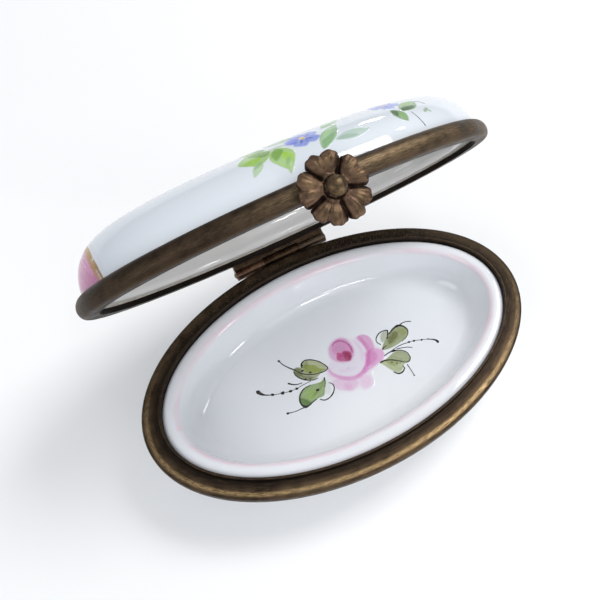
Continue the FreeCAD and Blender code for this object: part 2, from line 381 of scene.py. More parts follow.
def mat_base_mount():
    g = Graph("patinated_brass_base_mount")
    v = g.coords()
    i, th, z = g.rim(i0=0.9)
    tang = th * 24.0
    c, mott, big, fine, scr = brass_common(g, v, tang, i)
    # darker towards the inner wall of the land: painted shade in the groove at the foot of the lip, with dirt in it
    # as well
    inner = i.step(1.15, 1.95)
    c = g.mix(inner * 0.82, c, (0.012, 0.008, 0.006))
    # worn golden streak on the outer rounding: rubbed brass, and a painted highlight as well, made strongest at the
    # front left and again at the outer right, where light catches the rim
    rub_and_highlight = (
        (th + 2.25).cos().step(-0.10, 0.95) * 1.0
        + (th + 0.75).cos().step(0.60, 1.0) * 0.32
        + (th - 0.15).cos().step(0.80, 1.0) * 0.12
    ).clamp() * 0.92 + 0.08
    band = ((i - 0.72 - (big - 0.5) * 0.35).abs()).step(0.06, 0.46, 1.0, 0.0)
    top = z.step(-0.45, -0.05)
    rub = fine.step(0.33, 0.62)
    gold = band * top * rub_and_highlight * rub.max(0.35 * big.step(0.4, 0.7))
    c = g.mix(gold, c, (0.420, 0.288, 0.140))
    # painted shade: the right end of the rim, which faces away from the light, is darkened to near black
    right_end_shade = (th - 0.40).cos().step(0.30, 0.98)
    c = g.mix(right_end_shade * 0.74, c, (0.010, 0.007, 0.005))
    # the apron: mottled, with bare specks
    apron = z.step(-0.35, -0.12, 1.0, 0.0)
    bare = g.noise(v, 1500.0, 3.0, 0.7).step(0.55, 0.70) * apron
    c = g.mix(apron * 0.45, c, (0.040, 0.026, 0.017))
    c = g.mix(bare * 0.50, c, (0.300, 0.200, 0.105))
    # fine scratches across the land on the far side
    far = th.sin().step(0.35, 0.9)
    rad = g.noise(g.vec(th * 210.0, i * 1.4, 2.0), 1.0, 3.0, 0.7).step(0.52, 0.66)
    c = g.mix(rad * far * top * 0.42, c, (0.300, 0.235, 0.160))
    along = scr.step(0.56, 0.68) * top
    c = g.mix(along * 0.30, c, (0.250, 0.175, 0.100))
    rough = mott.step(0.3, 0.7, 0.36, 0.56) - gold * 0.10
    h = mott * 0.5 + fine * 0.5 + scr * 0.3 + rad * far * 0.3
    return g.set(color=c, rough=rough, metal=0.92, normal=g.bump(h, 0.35, 0.00006))


def mat_lip_ring():
    g = Graph("brass_lip_ring_painted_shade")
    v = g.coords()
    i, th, z = g.rim(i0=2.6)
    c, mott, big, fine, scr = brass_common(g, v, th * 24.0, i)
    # painted shade: the whole lip ring is darkened to near black, as it stands in a recess
    c = g.mix(0.72, c, (0.012, 0.008, 0.007))
    # painted highlight along the crest of the lip, broken up by the brass's grain
    crest = z.step(0.52, 0.64)
    c = g.mix(crest * fine.step(0.40, 0.65) * 0.30, c, (0.200, 0.130, 0.070))
    h = mott * 0.5 + fine * 0.5
    return g.set(color=c, rough=mott.step(0.3, 0.7, 0.36, 0.6), metal=0.85,
                 normal=g.bump(h, 0.3, 0.00005))


def mat_lid_mount():
    g = Graph("patinated_brass_lid_mount")
    v = g.coords()
    i, th, z = g.rim(closed=True, i0=0.4)
    tang = th * 24.0
    c, mott, big, fine, scr = brass_common(g, v, tang, z)
    # painted light and shade: the band is lighter and more golden towards the right, where the light falls, and
    # near black at left, away from it
    right = th.cos().step(-0.75, 0.55)
    c = g.mix(0.45 * (1.0 - right), c, (0.022, 0.014, 0.010))
    crown = ((z - 1.25).abs()).step(0.15, 1.15, 1.0, 0.0)
    wear = (fine.step(0.42, 0.66) * 0.7 + scr.step(0.52, 0.66) * 0.5).clamp()
    px = (x_of(g) - 4.0) * (1 / 17.0)
    near = (px * px).step(0.0, 1.0, 1.0, 0.0)
    # rubbed gold: wear along the crown and near the clasp, made stronger on the lit right side as painted light
    gold = wear * crown * (right * 0.36 + 0.12 + near * 0.42)
    c = g.mix(near * crown * 0.30, c, (0.150, 0.106, 0.064))
    c = g.mix(gold, c, (0.300, 0.212, 0.118))
    edge = z.step(2.30, 2.56) * big.step(0.35, 0.6)
    c = g.mix(edge * 0.45, c, (0.210, 0.145, 0.080))
    bevel = z.step(0.02, 0.30, 1.0, 0.0) * i.step(0.7, 1.0, 1.0, 0.0)
    c = g.mix(bevel * 0.30, c, (0.170, 0.122, 0.078))
    # parting face and inner edge stay dark
    face = z.step(0.0, 0.04, 1.0, 0.0) * i.step(0.6, 0.9)
    c = g.mix(face * 0.6, c, (0.030, 0.020, 0.014))
    inner = i.step(2.15, 2.27)
    c = g.mix(inner * 0.9, c, (0.010, 0.008, 0.007))
    rough = mott.step(0.3, 0.7, 0.40, 0.60) - gold * 0.06
    h = mott * 0.5 + fine * 0.6 + scr * 0.4
    return g.set(color=c, rough=rough, metal=0.92, normal=g.bump(h, 0.4, 0.00006))


def mat_hinge(name, tint, copper):
    g = Graph(name)
    v = g.coords()
    x, y, z = g.xyz()
    mott = g.noise(v, 800.0, 4.0, 0.6)
    rings = g.noise(g.vec(x * 7.0, y * 0.7, z * 0.7), 1.0, 4.0, 0.65)
    lines = g.noise(g.vec(x * 0.4, y * 9.0, z * 9.0), 1.0, 3.0, 0.6)
    c = g.mix(mott.step(0.3, 0.7), tint[0], tint[1])
    c = g.mix(rings.step(0.50, 0.70) * 0.5 + lines.step(0.5, 0.66) * copper, c, tint[2])
    h = mott * 0.4 + rings * 0.7 + lines * 0.4
    return g.set(color=c, rough=mott.step(0.3, 0.7, 0.28, 0.5), metal=0.93,
                 normal=g.bump(h, 0.4, 0.00005))


def mat_cement():
    g = Graph("plaster_bedding")
    v = g.coords()
    n = g.noise(v, 900.0, 5.0, 0.7)
    c = g.mix(n.step(0.3, 0.7), (0.34, 0.31, 0.27), (0.55, 0.52, 0.46))
    return g.set(color=c, rough=0.85, normal=g.bump(n, 0.8, 0.0001))


def mat_clasp():
    """Cast bronze with a greenish gold rub on the high spots, which also serves as a painted highlight on the petal
    tops.
    """
    g = Graph("cast_bronze_blossom")
    v = g.coords()
    col, hgt = g.attr("relief")
    mott = g.noise(v, 650.0, 5.0, 0.65)
    big = g.noise(v, 230.0, 3.0, 0.55)
    c = g.mix(mott.step(0.32, 0.70), (0.066, 0.040, 0.026), (0.170, 0.104, 0.064))
    c = g.mix(big.step(0.45, 0.72) * 0.45, c, (0.170, 0.098, 0.070))
    # gold on the high relief: rubbed bronze, and a painted highlight where the petals catch the light
    high_rub_and_highlight = hgt.step(0.45, 0.95) * mott.step(0.35, 0.62, 0.35, 1.0)
    c = g.mix(high_rub_and_highlight * 0.70, c, (0.300, 0.215, 0.100))
    low = hgt.step(0.02, 0.40, 1.0, 0.0)
    c = g.mix(low * 0.85, c, (0.022, 0.012, 0.010))
    grain = g.noise(v, 2600.0, 3.0, 0.6)
    return g.set(color=c, rough=mott.step(0.3, 0.7, 0.36, 0.58), metal=0.9,
                 normal=g.bump(mott * 0.5 + grain * 0.5, 0.35, 0.00006))


def assign(node, mat):
    o = NODES[node]
    if not o.material_slots:
        o.data.materials.append(mat)
    for s in o.material_slots:
        s.link = "OBJECT"
        s.material = mat


bowl_mat = mat_porcelain_bowl()
lid_mat = mat_porcelain_lid()
assign("base_bowl", bowl_mat)
assign("lid_dome", lid_mat)
assign("base_bezel", mat_base_mount())
assign("base_lip_ring", mat_lip_ring())
assign("lid_bezel", mat_lid_mount())
cem = mat_cement()
assign("base_rim_cement", cem)
assign("lid_rim_cement", cem)
assign("lid_hinge_knuckle_left", mat_hinge(
    "copper_brown_knuckle", [(0.085, 0.045, 0.028), (0.20, 0.115, 0.070), (0.42, 0.26, 0.16)], 0.35))
assign("base_hinge_knuckle", mat_hinge(
    "dark_brown_knuckle", [(0.045, 0.025, 0.016), (0.125, 0.075, 0.045), (0.26, 0.165, 0.09)], 0.20))
assign("lid_hinge_knuckle_right", mat_hinge(
    "grey_brown_knuckle", [(0.070, 0.048, 0.035), (0.17, 0.125, 0.090), (0.33, 0.25, 0.17)], 0.25))
assign("hinge_pin", mat_hinge(
    "steel_grey_pin", [(0.10, 0.085, 0.07), (0.22, 0.19, 0.15), (0.45, 0.38, 0.28)], 0.3))
assign("clasp_tongue", mat_hinge(
    "bronze_tongue", [(0.060, 0.034, 0.020), (0.150, 0.090, 0.052), (0.32, 0.21, 0.10)], 0.25))
assign("clasp_rivet", mat_hinge(
    "bronze_rivet", [(0.050, 0.032, 0.020), (0.135, 0.090, 0.050), (0.25, 0.18, 0.095)], 0.25))
assign("lid_hinge_leaf", mat_hinge(
    "mottled_leaf", [(0.040, 0.024, 0.016), (0.150, 0.095, 0.058), (0.27, 0.19, 0.11)], 0.18))
clasp_mat = mat_clasp()
assign("clasp_blossom", clasp_mat)

# ------------------------------------------------------------------ painting
# Overglaze enamels, laid on the glaze as thin relief. Plan positions are in mm.
def lin(r, g, b):
    c = np.array([r, g, b], float) / 255.0
    c = np.where(c <= 0.04045, c / 12.92, ((c + 0.055) / 1.055) ** 2.4)
    grey = c.mean()
    return np.clip(grey + (c - grey) * 1.32, 0.004, 0.95) * 0.90


def lattice(ix, iy, seed):
    """Repeatable pseudo-random value for each lattice cell."""
    n = (ix.astype(np.int64) * 374761393 + iy.astype(np.int64) * 668265263
         + seed * 974634777) & 0xFFFFFFFF
    n = ((n ^ (n >> 13)) * 1274126177) & 0xFFFFFFFF
    n = n ^ (n >> 16)
    return (n & 0xFFFFFF) / float(0xFFFFFF)


def value_noise(x, y, seed=0, octaves=3):
    out, amp, tot = np.zeros_like(x), 1.0, 0.0
    for k in range(octaves):
        ix, iy = np.floor(x), np.floor(y)
        fx, fy = x - ix, y - iy
        fx, fy = fx * fx * (3 - 2 * fx), fy * fy * (3 - 2 * fy)
        s = seed + 31 * k
        a, b = lattice(ix, iy, s), lattice(ix + 1, iy, s)
        c, d = lattice(ix, iy + 1, s), lattice(ix + 1, iy + 1, s)
        out += amp * (a * (1 - fx) * (1 - fy) + b * fx * (1 - fy)
                      + c * (1 - fx) * fy + d * fx * fy)
        tot += amp
        amp *= 0.5
        x, y = x * 2.03 + 11.7, y * 2.03 - 5.3
    return out / tot


def curve(pts, closed=False, step=0.12):
    """Catmull-Rom curve through the given points, evenly resampled."""
    p = np.array(pts, float)
    if len(p) < 3 and not closed:
        n = max(2, int(np.linalg.norm(p[-1] - p[0]) / step) + 1)
        return p[0] + (p[-1] - p[0]) * np.linspace(0, 1, n)[:, None]
    n = len(p)
    if closed:
        q = np.vstack([p[-1], p, p[0], p[1]])
        segs = n
    else:
        q = np.vstack([2 * p[0] - p[1], p, 2 * p[-1] - p[-2]])
        segs = n - 1
    out = []
    for i in range(segs):
        a, b, c, d = q[i], q[i + 1], q[i + 2], q[i + 3]
        t = np.linspace(0, 1, 14, endpoint=False)[:, None]
        out.append(0.5 * ((2 * b) + (c - a) * t + (2 * a - 5 * b + 4 * c - d) * t ** 2
                          + (3 * b - a - 3 * c + d) * t ** 3))
    out = np.vstack(out + [q[1:2] if closed else q[-2:-1]])
    seg = np.linalg.norm(np.diff(out, axis=0), axis=1)
    s = np.concatenate([[0], np.cumsum(seg)])
    m = max(3, int(s[-1] / step) + 1)
    want = np.linspace(0, s[-1], m)
    return np.stack([np.interp(want, s, out[:, k]) for k in range(2)], -1)


def dist_line(x, y, path):
    """Distance to a path, and how far along it (0 to 1) the nearest point is."""
    best = np.full(x.shape, 1e9)
    along = np.zeros(x.shape)
    side = np.zeros(x.shape)
    n = len(path) - 1
    for i in range(n):
        ax, ay = path[i]
        bx, by = path[i + 1]
        dx, dy = bx - ax, by - ay
        l2 = dx * dx + dy * dy + 1e-12
        t = np.clip(((x - ax) * dx + (y - ay) * dy) / l2, 0, 1)
        ex, ey = x - ax - t * dx, y - ay - t * dy
        d = np.sqrt(ex * ex + ey * ey)
        m = d < best
        best = np.where(m, d, best)
        along = np.where(m, (i + t) / n, along)
        side = np.where(m, np.sign(dx * ey - dy * ex) * d, side)
    return best, along, side


def dist_area(x, y, outline):
    """Signed distance to a closed outline, negative inside."""
    d, _, _ = dist_line(x, y, outline)
    inside = np.zeros(x.shape, bool)
    for i in range(len(outline) - 1):
        ax, ay = outline[i]
        bx, by = outline[i + 1]
        if ay == by:
            continue
        c = ((ay > y) != (by > y)) & (x < (bx - ax) * (y - ay) / (by - ay) + ax)
        inside ^= c
    return np.where(inside, -d, d)


def soft(d, w):
    """1 inside, 0 outside, over the width w either side of the edge."""
    t = np.clip(0.5 - d / (2 * w), 0, 1)
    return t * t * (3 - 2 * t)


def tree_of(*nodes):
    v, f = [], []
    for node in nodes:
        me = NODES[node].data
        k = len(v)
        v += [tuple(x.co * 1000.0) for x in me.vertices]
        f += [tuple(i + k for i in p.vertices) for p in me.polygons]
    return BVHTree.FromPolygons(v, f)


class Ground:
    """A smooth stretch of the glazed surface that painting is laid on: a local
    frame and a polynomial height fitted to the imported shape."""

    def __init__(self, tree, p0, t, n, hu, hv, deg=6, reach=6.0):
        self.o = np.array(p0, float)
        n = np.array(n, float) / np.linalg.norm(n)
        t = np.array(t, float) - n * np.dot(t, n)
        self.t, self.n = t / np.linalg.norm(t), n
        self.b = np.cross(self.n, self.t)
        self.hu, self.hv = hu, hv
        n1 = 71
        us, vs = np.meshgrid(np.linspace(-hu, hu, n1), np.linspace(-hv, hv, n1))
        shape = us.shape
        us, vs = us.ravel(), vs.ravel()
        hs, ok = [], []
        for u, v in zip(us, vs):
            p = self.o + self.t * u + self.b * v + self.n * reach
            hit = tree.ray_cast(Vector(p), Vector(-self.n), reach * 2)
            ok.append(hit[0] is not None)
            hs.append(reach - hit[3] if ok[-1] else 0.0)
        hs, ok = np.array(hs), np.array(ok)
        self.powers = [(i, j) for i in range(deg + 1) for j in range(deg + 1 - i)]
        m = self._terms(us / hu, vs / hv)
        self.k = np.linalg.lstsq(m[ok], hs[ok], rcond=None)[0]
        # what the polynomial misses is kept as a fine grid, lightly smoothed
        res = np.where(ok, hs - m @ self.k, 0.0).reshape(shape)
        for _ in range(2):
            q = np.pad(res, 1, mode="edge")
            res = (q[:-2, 1:-1] + q[2:, 1:-1] + q[1:-1, :-2] + q[1:-1, 2:] + 4 * res) / 8
        self.res, self.n1 = res, n1

    def _terms(self, u, v):
        return np.stack([u ** i * v ** j for i, j in self.powers], -1)

    def height(self, u, v):
        poly = self._terms(u / self.hu, v / self.hv) @ self.k
        n = self.n1 - 1
        a = np.clip((u / self.hu + 1) * 0.5 * n, 0, n - 1e-6)
        b = np.clip((v / self.hv + 1) * 0.5 * n, 0, n - 1e-6)
        i, j = a.astype(int), b.astype(int)
        fa, fb = a - i, b - j
        r = self.res
        return poly + (r[j, i] * (1 - fa) * (1 - fb) + r[j, i + 1] * fa * (1 - fb)
                       + r[j + 1, i] * (1 - fa) * fb + r[j + 1, i + 1] * fa * fb)

    def place(self, u, v, off=0.0):
        """Points at height off above the surface."""
        u, v = np.asarray(u, float), np.asarray(v, float)
        e = 0.02
        h = self.height(u, v)
        hu = (self.height(u + e, v) - self.height(u - e, v)) / (2 * e)
        hv = (self.height(u, v + e) - self.height(u, v - e)) / (2 * e)
        n = (self.n - hu[..., None] * self.t - hv[..., None] * self.b)
        n = n / np.linalg.norm(n, axis=-1, keepdims=True)
        p = self.o + u[..., None] * self.t + v[..., None] * self.b + h[..., None] * self.n
        return p + n * np.asarray(off, float)[..., None]


class Paint:
    """Soft washes on a fine grid over a ground."""

    def __init__(self, ground, u0, u1, v0, v1, step):
        nu, nv = int((u1 - u0) / step) + 2, int((v1 - v0) / step) + 2
        self.g, self.step = ground, step
        self.u, self.v = np.meshgrid(u0 + np.arange(nu) * step, v0 + np.arange(nv) * step)
        self.c = np.zeros(self.u.shape + (3,))
        self.k = np.zeros(self.u.shape)
        self.h = np.zeros(self.u.shape)

    def lay(self, alpha, color, rise=0.0):
        a = np.clip(alpha, 0, 1)
        color = np.asarray(color, float)
        if color.ndim == 1:
            color = np.broadcast_to(color, self.c.shape)
        k = a + self.k * (1 - a)
        with np.errstate(invalid="ignore", divide="ignore"):
            mixed = (color * a[..., None] + self.c * (self.k * (1 - a))[..., None]) / k[..., None]
        self.c = np.where((k > 1e-6)[..., None], mixed, self.c)
        self.k = k
        self.h = np.maximum(self.h, a * rise)

    def area(self, pts, color, edge=0.10, strength=1.0, rise=0.012, grain=None, seed=1,
             fade=None):
        """A filled shape. grain=(direction in degrees, length, depth) leaves brush
        marks. fade=(point, radius) thins the colour away from a point."""
        o = curve(pts, closed=True)
        pad = edge + 0.05
        box = ((self.u > o[:, 0].min() - pad) & (self.u < o[:, 0].max() + pad)
               & (self.v > o[:, 1].min() - pad) & (self.v < o[:, 1].max() + pad))
        a = np.zeros(self.u.shape)
        u, v = self.u[box], self.v[box]
        wob = (value_noise(u * 2.2, v * 2.2, seed + 5) - 0.5) * 0.10
        d = dist_area(u, v, o) + wob
        m = soft(d, edge) * strength
        # pigment gathers in a slightly stronger rim, as wet enamel dries
        m = m * (0.90 + 0.10 * np.exp(-((d + 0.12) / 0.10) ** 2))
        if grain:
            ang, length, depth = math.radians(grain[0]), grain[1], grain[2]
            s = (u * math.cos(ang) + v * math.sin(ang)) / length
            w = (-u * math.sin(ang) + v * math.cos(ang)) / 0.16
            m = m * (1 - depth * value_noise(s, w, seed, 3))
        if fade:
            (fx, fy), r = fade
            m = m * np.clip(1.15 - np.hypot(u - fx, v - fy) / r, 0, 1)
        a[box] = m
        self.lay(a, color, rise)

    def brush(self, pts, width, color, strength=1.0, edge=0.12, taper=(0.2, 0.2),
              rise=0.012, seed=3, streak=0.35):
        """One stroke: width swells between its tapered ends, with streaks along it."""
        path = curve(pts)
        pad = width + edge
        box = ((self.u > path[:, 0].min() - pad) & (self.u < path[:, 0].max() + pad)
               & (self.v > path[:, 1].min() - pad) & (self.v < path[:, 1].max() + pad))
        a = np.zeros(self.u.shape)
        u, v = self.u[box], self.v[box]
        d, s, side = dist_line(u, v, path)
        t0, t1 = taper
        w = width / 2 * (np.clip(s / max(t0, 1e-3), 0, 1) ** 0.5
                         * np.clip((1 - s) / max(t1, 1e-3), 0, 1) ** 0.5 * 0.75 + 0.25)
        m = soft(d - w, edge) * strength
        m = m * (1 - streak * value_noise(s * 3.0, side / 0.09 + 40, seed, 3))
        a[box] = m
        self.lay(a, color, rise)

    def mesh(self, name, mat, body, slot=None, least=0.006):
        """One closed thin sheet over every painted part of the grid."""
        on = self.k > least
        q = on[:-1, :-1] | on[1:, :-1] | on[:-1, 1:] | on[1:, 1:]
        # a cell touching the rest by one corner only would pinch the sheet
        for _ in range(3):
            a, b = q[:-1, :-1], q[1:, 1:]
            c, d = q[1:, :-1], q[:-1, 1:]
            one = a & b & ~c & ~d
            two = c & d & ~a & ~b
            if not (one.any() or two.any()):
                break
            q[1:, :-1] |= one
            q[:-1, :-1] |= two
        j, i = np.nonzero(q)
        nv, nu = self.u.shape
        corner = np.stack([j * nu + i, j * nu + i + 1, (j + 1) * nu + i + 1, (j + 1) * nu + i], -1)
        used, inv = np.unique(corner, return_inverse=True)
        inv = inv.reshape(corner.shape)
        u, v = self.u.ravel()[used], self.v.ravel()[used]
        k0 = np.clip(self.k.ravel()[used] / 0.07, 0, 1)
        k0 = k0 * k0 * (3 - 2 * k0)
        top = self.g.place(u, v, -0.030 + 0.046 * k0 + self.h.ravel()[used])
        low = self.g.place(u, v, np.full(len(used), -0.060))
        n = len(used)
        faces = [tuple(f) for f in inv] + [tuple(n + f[::-1]) for f in inv]
        edges = {}
        for f in inv:
            for a, b in zip(f, np.roll(f, -1)):
                edges[(int(a), int(b))] = True
        for a, b in edges:
            if (b, a) not in edges:
                faces.append((b, a, n + a, n + b))
        verts = np.vstack([top, low]) * MM
        me = bpy.data.meshes.new(name)
        me.from_pydata(verts.tolist(), [], [tuple(int(x) for x in f) for f in faces])
        me.update()
        att = me.attributes.new("paint", "FLOAT_COLOR", "POINT")
        c, k = self.c.reshape(-1, 3)[used], self.k.ravel()[used]
        rgba = np.concatenate([c, k[:, None]], -1)
        att.data.foreach_set("color", np.vstack([rgba, rgba]).astype(np.float32).ravel())
        return piece(name, me, mat, body)


def piece(name, me, mat, body, smooth=True):
    me.materials.append(mat)
    if smooth:
        me.polygons.foreach_set("use_smooth", [True] * len(me.polygons))
    o = bpy.data.objects.new(name, me)
    bpy.context.scene.collection.objects.link(o)
    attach(o, body)
    return o


class Ink:
    """Fine outlines and dots of dark enamel, as raised beads on a ground."""

    def __init__(self, ground):
        self.g, self.v, self.f = ground, [], []

    def line(self, pts, w0, w1=None, w2=None, rise=0.022):
        """A bead whose width goes from w0 by way of w1 in the middle to w2."""
        w1 = w0 if w1 is None else w1
        w2 = w1 if w2 is None else w2
        p = curve(pts, step=0.09)
        n = len(p)
        s = np.linspace(0, 1, n)
        w = np.where(s < 0.5, w0 + (w1 - w0) * s * 2, w1 + (w2 - w1) * (s - 0.5) * 2)
        w = w * (0.88 + 0.24 * value_noise(p[:, 0] * 2.7, p[:, 1] * 2.7, 9, 2))
        d = np.gradient(p, axis=0)
        d = d / (np.linalg.norm(d, axis=1, keepdims=True) + 1e-9)
        side = np.stack([-d[:, 1], d[:, 0]], -1)
        a = np.array([-1.0, -0.62, 0.0, 0.62, 1.0])
        up = np.array([0.10, 0.72, 1.0, 0.72, 0.10])
        rows = []
        for k in range(n):
            q = p[k] + side[k] * (a * w[k] / 2)[:, None]
            h = 0.016 + up * rise * min(1.0, w[k] / 0.16)
            rows.append((q, h))
        base = len(self.v)
        # rounded ends
        first = (p[0] - d[0] * w[0] * 0.45, 0.016)
        last = (p[-1] + d[-1] * w[-1] * 0.45, 0.016)
        for q, h in rows:
            for (x, y), z in zip(q, h):
                self.v.append((x, y, z))
            for x, y in (q[-1], q[0]):
                self.v.append((x, y, -0.03))
        m = 7
        for k in range(n - 1):
            r0, r1 = base + k * m, base + (k + 1) * m
            for j in range(m):
                j2 = (j + 1) % m
                self.f.append((r0 + j, r1 + j, r1 + j2, r0 + j2))
        a0, a1 = len(self.v), len(self.v) + 1
        self.v.append((*first[0], 0.0))
        self.v.append((*last[0], 0.0))
        r1 = base + (n - 1) * m
        for j in range(m):
            j2 = (j + 1) % m
            self.f.append((a0, base + j, base + j2))
            self.f.append((a1, r1 + j2, r1 + j))

    def dot(self, x, y, r, squash=1.0, ang=0.0, rise=0.035, seed=0):
        base = len(self.v)
        n = 14
        t = np.arange(n) * 2 * math.pi / n
        wob = 1 + (lattice(np.arange(n), np.full(n, seed), 7) - 0.5) * 0.22
        ca, sa = math.cos(ang), math.sin(ang)
        for k, h in ((1.0, 0.018), (0.78, 0.018 + rise * 0.6), (0.40, 0.018 + rise * 0.95)):
            ex, ey = np.cos(t) * r * k * wob, np.sin(t) * r * k * wob * squash
            for a, b in zip(ex, ey):
                self.v.append((x + a * ca - b * sa, y + a * sa + b * ca, h))
        self.v.append((x, y, 0.018 + rise))
        ex, ey = np.cos(t) * r * wob, np.sin(t) * r * wob * squash
        for a, b in zip(ex, ey):
            self.v.append((x + a * ca - b * sa, y + a * sa + b * ca, -0.03))
        top, low = base + 3 * n, base + 3 * n + 1
        for j in range(n):
            j2 = (j + 1) % n
            self.f.append((base + j, base + j2, base + n + j2, base + n + j))
            self.f.append((base + n + j, base + n + j2, base + 2 * n + j2, base + 2 * n + j))
            self.f.append((base + 2 * n + j, base + 2 * n + j2, top))
            self.f.append((low + j, low + j2, base + j2, base + j))
        self.f.append(tuple(low + j for j in range(n))[::-1])

    def mesh(self, name, mat, body, slot=None):
        a = np.array(self.v)
        p = self.g.place(a[:, 0], a[:, 1], a[:, 2]) * MM
        me = bpy.data.meshes.new(name)
        me.from_pydata(p.tolist(), [], self.f)
        bm = bmesh.new()
        bm.from_mesh(me)
        bmesh.ops.recalc_face_normals(bm, faces=bm.faces)
        bm.to_mesh(me)
        bm.free()
        return piece(name, me, mat, body)


def mat_paint(name, painted_shade=(1.0, 1.0, 1.0)):
    """Transparent enamel over the same white glaze: the pigment's colour and
    density come with the mesh, and the nodes add its grain and gloss."""
    g = Graph(name)
    v = g.coords()
    c, rough, h = porcelain_base(g, v)
    # painted shade: the glaze under the enamel is darkened like the ground it lies on
    c = g.mix(1.0, c, painted_shade, "MULTIPLY")
    col, cov = g.attr("paint")
    grain = g.noise(v, 2600.0, 3.0, 0.6)
    fleck = g.noise(v, 7000.0, 2.0, 0.6)
    dens = cov * grain.step(0.25, 0.60, 0.92, 1.0)
    tint = g.mix(fleck.step(0.55, 0.75) * 0.07, col, (1.0, 1.0, 1.0))
    c = g.mix(dens, c, tint)
    rough = rough + cov * 0.06
    hh = h + cov * 0.25 + grain * cov * 0.08
    return g.set(color=c, rough=rough, normal=g.bump(hh, 0.08, 0.00012), ior=1.52)


def mat_ink():
    g = Graph("black_enamel_line")
    v = g.coords()
    n = g.noise(v, 1800.0, 3.0, 0.6)
    c = g.mix(n.step(0.35, 0.7), (0.010, 0.011, 0.009), (0.045, 0.043, 0.036))
    return g.set(color=c, rough=n.step(0.3, 0.7, 0.14, 0.30),
                 normal=g.bump(n, 0.15, 0.00003), ior=1.5)


paint_mat = mat_paint("painted_enamel_on_glaze")
lid_paint_mat = mat_paint("painted_enamel_on_lid_glaze", LID_PAINTED_SHADE)
ink_mat = mat_ink()
bowl_tree = tree_of("base_bowl")


class Plan:
    """A ground on the bowl's floor, addressed by plan coordinates."""

    def __init__(self, x, y, hu, hv, deg=8):
        self.x, self.y = x, y
        self.g = Ground(bowl_tree, (x, y, ZP - 6.1), (1, 0, 0), (0, 0, 1), hu, hv, deg)

    def height(self, u, v):
        return self.g.height(u - self.x, v - self.y)

    def place(self, u, v, off=0.0):
        return self.g.place(np.asarray(u, float) - self.x, np.asarray(v, float) - self.y, off)


def at(pts):
    return list(pts)


rose_ground = Plan(1.7, -0.5, 5.9, 5.7)
left_ground = Plan(-7.7, 0.9, 6.2, 5.2)
right_ground = Plan(9.6, -2.4, 5.7, 5.0)


# --- the rose
ps = Paint(rose_ground, -3.9, 7.3, -5.8, 4.8, 0.065)
PALE, MIDP, DEEP = lin(228, 204, 226), lin(212, 150, 196), lin(196, 118, 172)
CUP, ARC, HEART, HEART2 = lin(206, 142, 184), lin(162, 70, 126), lin(166, 14, 108), lin(132, 2, 76)
WHITE = lin(232, 228, 238)
ps.area(at([(-2.4, 0.6), (-1.2, 1.5), (-0.7, 2.9), (0.6, 4.2), (2.1, 4.3), (3.6, 3.1), (4.7, 3.0),
            (5.9, 2.4), (6.0, 0.6), (6.7, -0.8), (6.4, -2.0), (4.6, -2.8), (3.2, -3.3), (2.8, -4.6),
            (1.4, -5.3), (0.3, -4.6), (-1.0, -4.4), (-2.6, -3.2), (-2.8, -1.2)]),
        PALE, edge=0.45, strength=0.55, seed=2, grain=(-35, 1.6, 0.35))
# outer petals
ps.area(at([(-2.56, -1.64), (-1.61, -1.7), (-0.49, -2.31), (0.67, -3.26), (0.59, -4.03),
            (-0.52, -4.44), (-1.48, -4.01), (-2.46, -3.16), (-2.73, -2.28)]),
        lin(224, 190, 216), edge=0.22, strength=0.72, seed=4, grain=(-70, 1.2, 0.45))
ps.area(at([(-1.23, -2.95), (-0.57, -3.07), (-0.2, -3.69), (-0.61, -4.18), (-1.25, -4.01), (-1.47, -3.48)]),
        MIDP, edge=0.40, strength=0.34, seed=5)
ps.area(at([(1.25, -3.33), (2.38, -3.32), (2.8, -4.26), (2.34, -5.21), (1.29, -5.31), (0.77, -4.54)]),
        lin(224, 184, 214), edge=0.42, strength=0.56, seed=6, grain=(-60, 1.0, 0.5))
ps.area(at([(5.77, -0.04), (6.56, -0.64), (6.71, -1.44), (6.13, -2.23), (4.98, -2.57), (3.58, -2.79),
            (2.43, -2.94), (2.38, -2.5), (3.55, -1.39), (4.39, -0.21), (4.99, 0.14)]),
        lin(214, 156, 200), edge=0.22, strength=0.85, seed=7, grain=(-20, 1.4, 0.35))
ps.area(at([(4.32, 2.86), (4.95, 3.06), (5.69, 2.78), (6.19, 1.9), (6.02, 0.58), (5.71, -0.15),
            (4.87, -0.27), (4.65, 0.42), (4.54, 1.61)]),
        lin(206, 142, 188), edge=0.20, strength=0.88, seed=8, grain=(75, 1.6, 0.40))
ps.area(at([(4.52, -0.01), (5.52, -0.66), (5.42, -1.66), (4.35, -2.14), (3.36, -2.11), (3.63, -1.17)]),
        DEEP, edge=0.40, strength=0.70, seed=9, grain=(-30, 1.0, 0.4))
ps.brush(at([(4.75, 2.8), (4.95, 1.5), (4.80, 0.3), (4.2, -1.0), (3.3, -2.1)]), 0.55,
         lin(190, 112, 168), 0.55, edge=0.25, seed=10)
ps.brush(at([(5.75, 2.5), (6.05, 1.2), (5.6, -0.1)]), 0.5, lin(222, 176, 210), 0.5, edge=0.2, seed=11)
ps.brush(at([(6.2, -0.7), (6.3, -1.5), (5.2, -2.3)]), 0.6, lin(222, 180, 212), 0.5, edge=0.25, seed=12)
# crescent under the white petal
ps.brush(at([(-2.15, 0.6), (-1.95, -0.55), (-1.21, -1.62), (-0.2, -2.40), (0.88, -2.85),
             (1.97, -2.75), (3.0, -2.15), (3.85, -1.10), (4.1, 0.0)]), 0.70,
         lin(208, 138, 190), 0.80, edge=0.28, taper=(0.25, 0.12), seed=13)
ps.brush(at([(0.9, -2.7), (1.9, -2.6), (2.9, -1.95)]), 0.45, lin(196, 116, 174), 0.45, edge=0.2, seed=14)
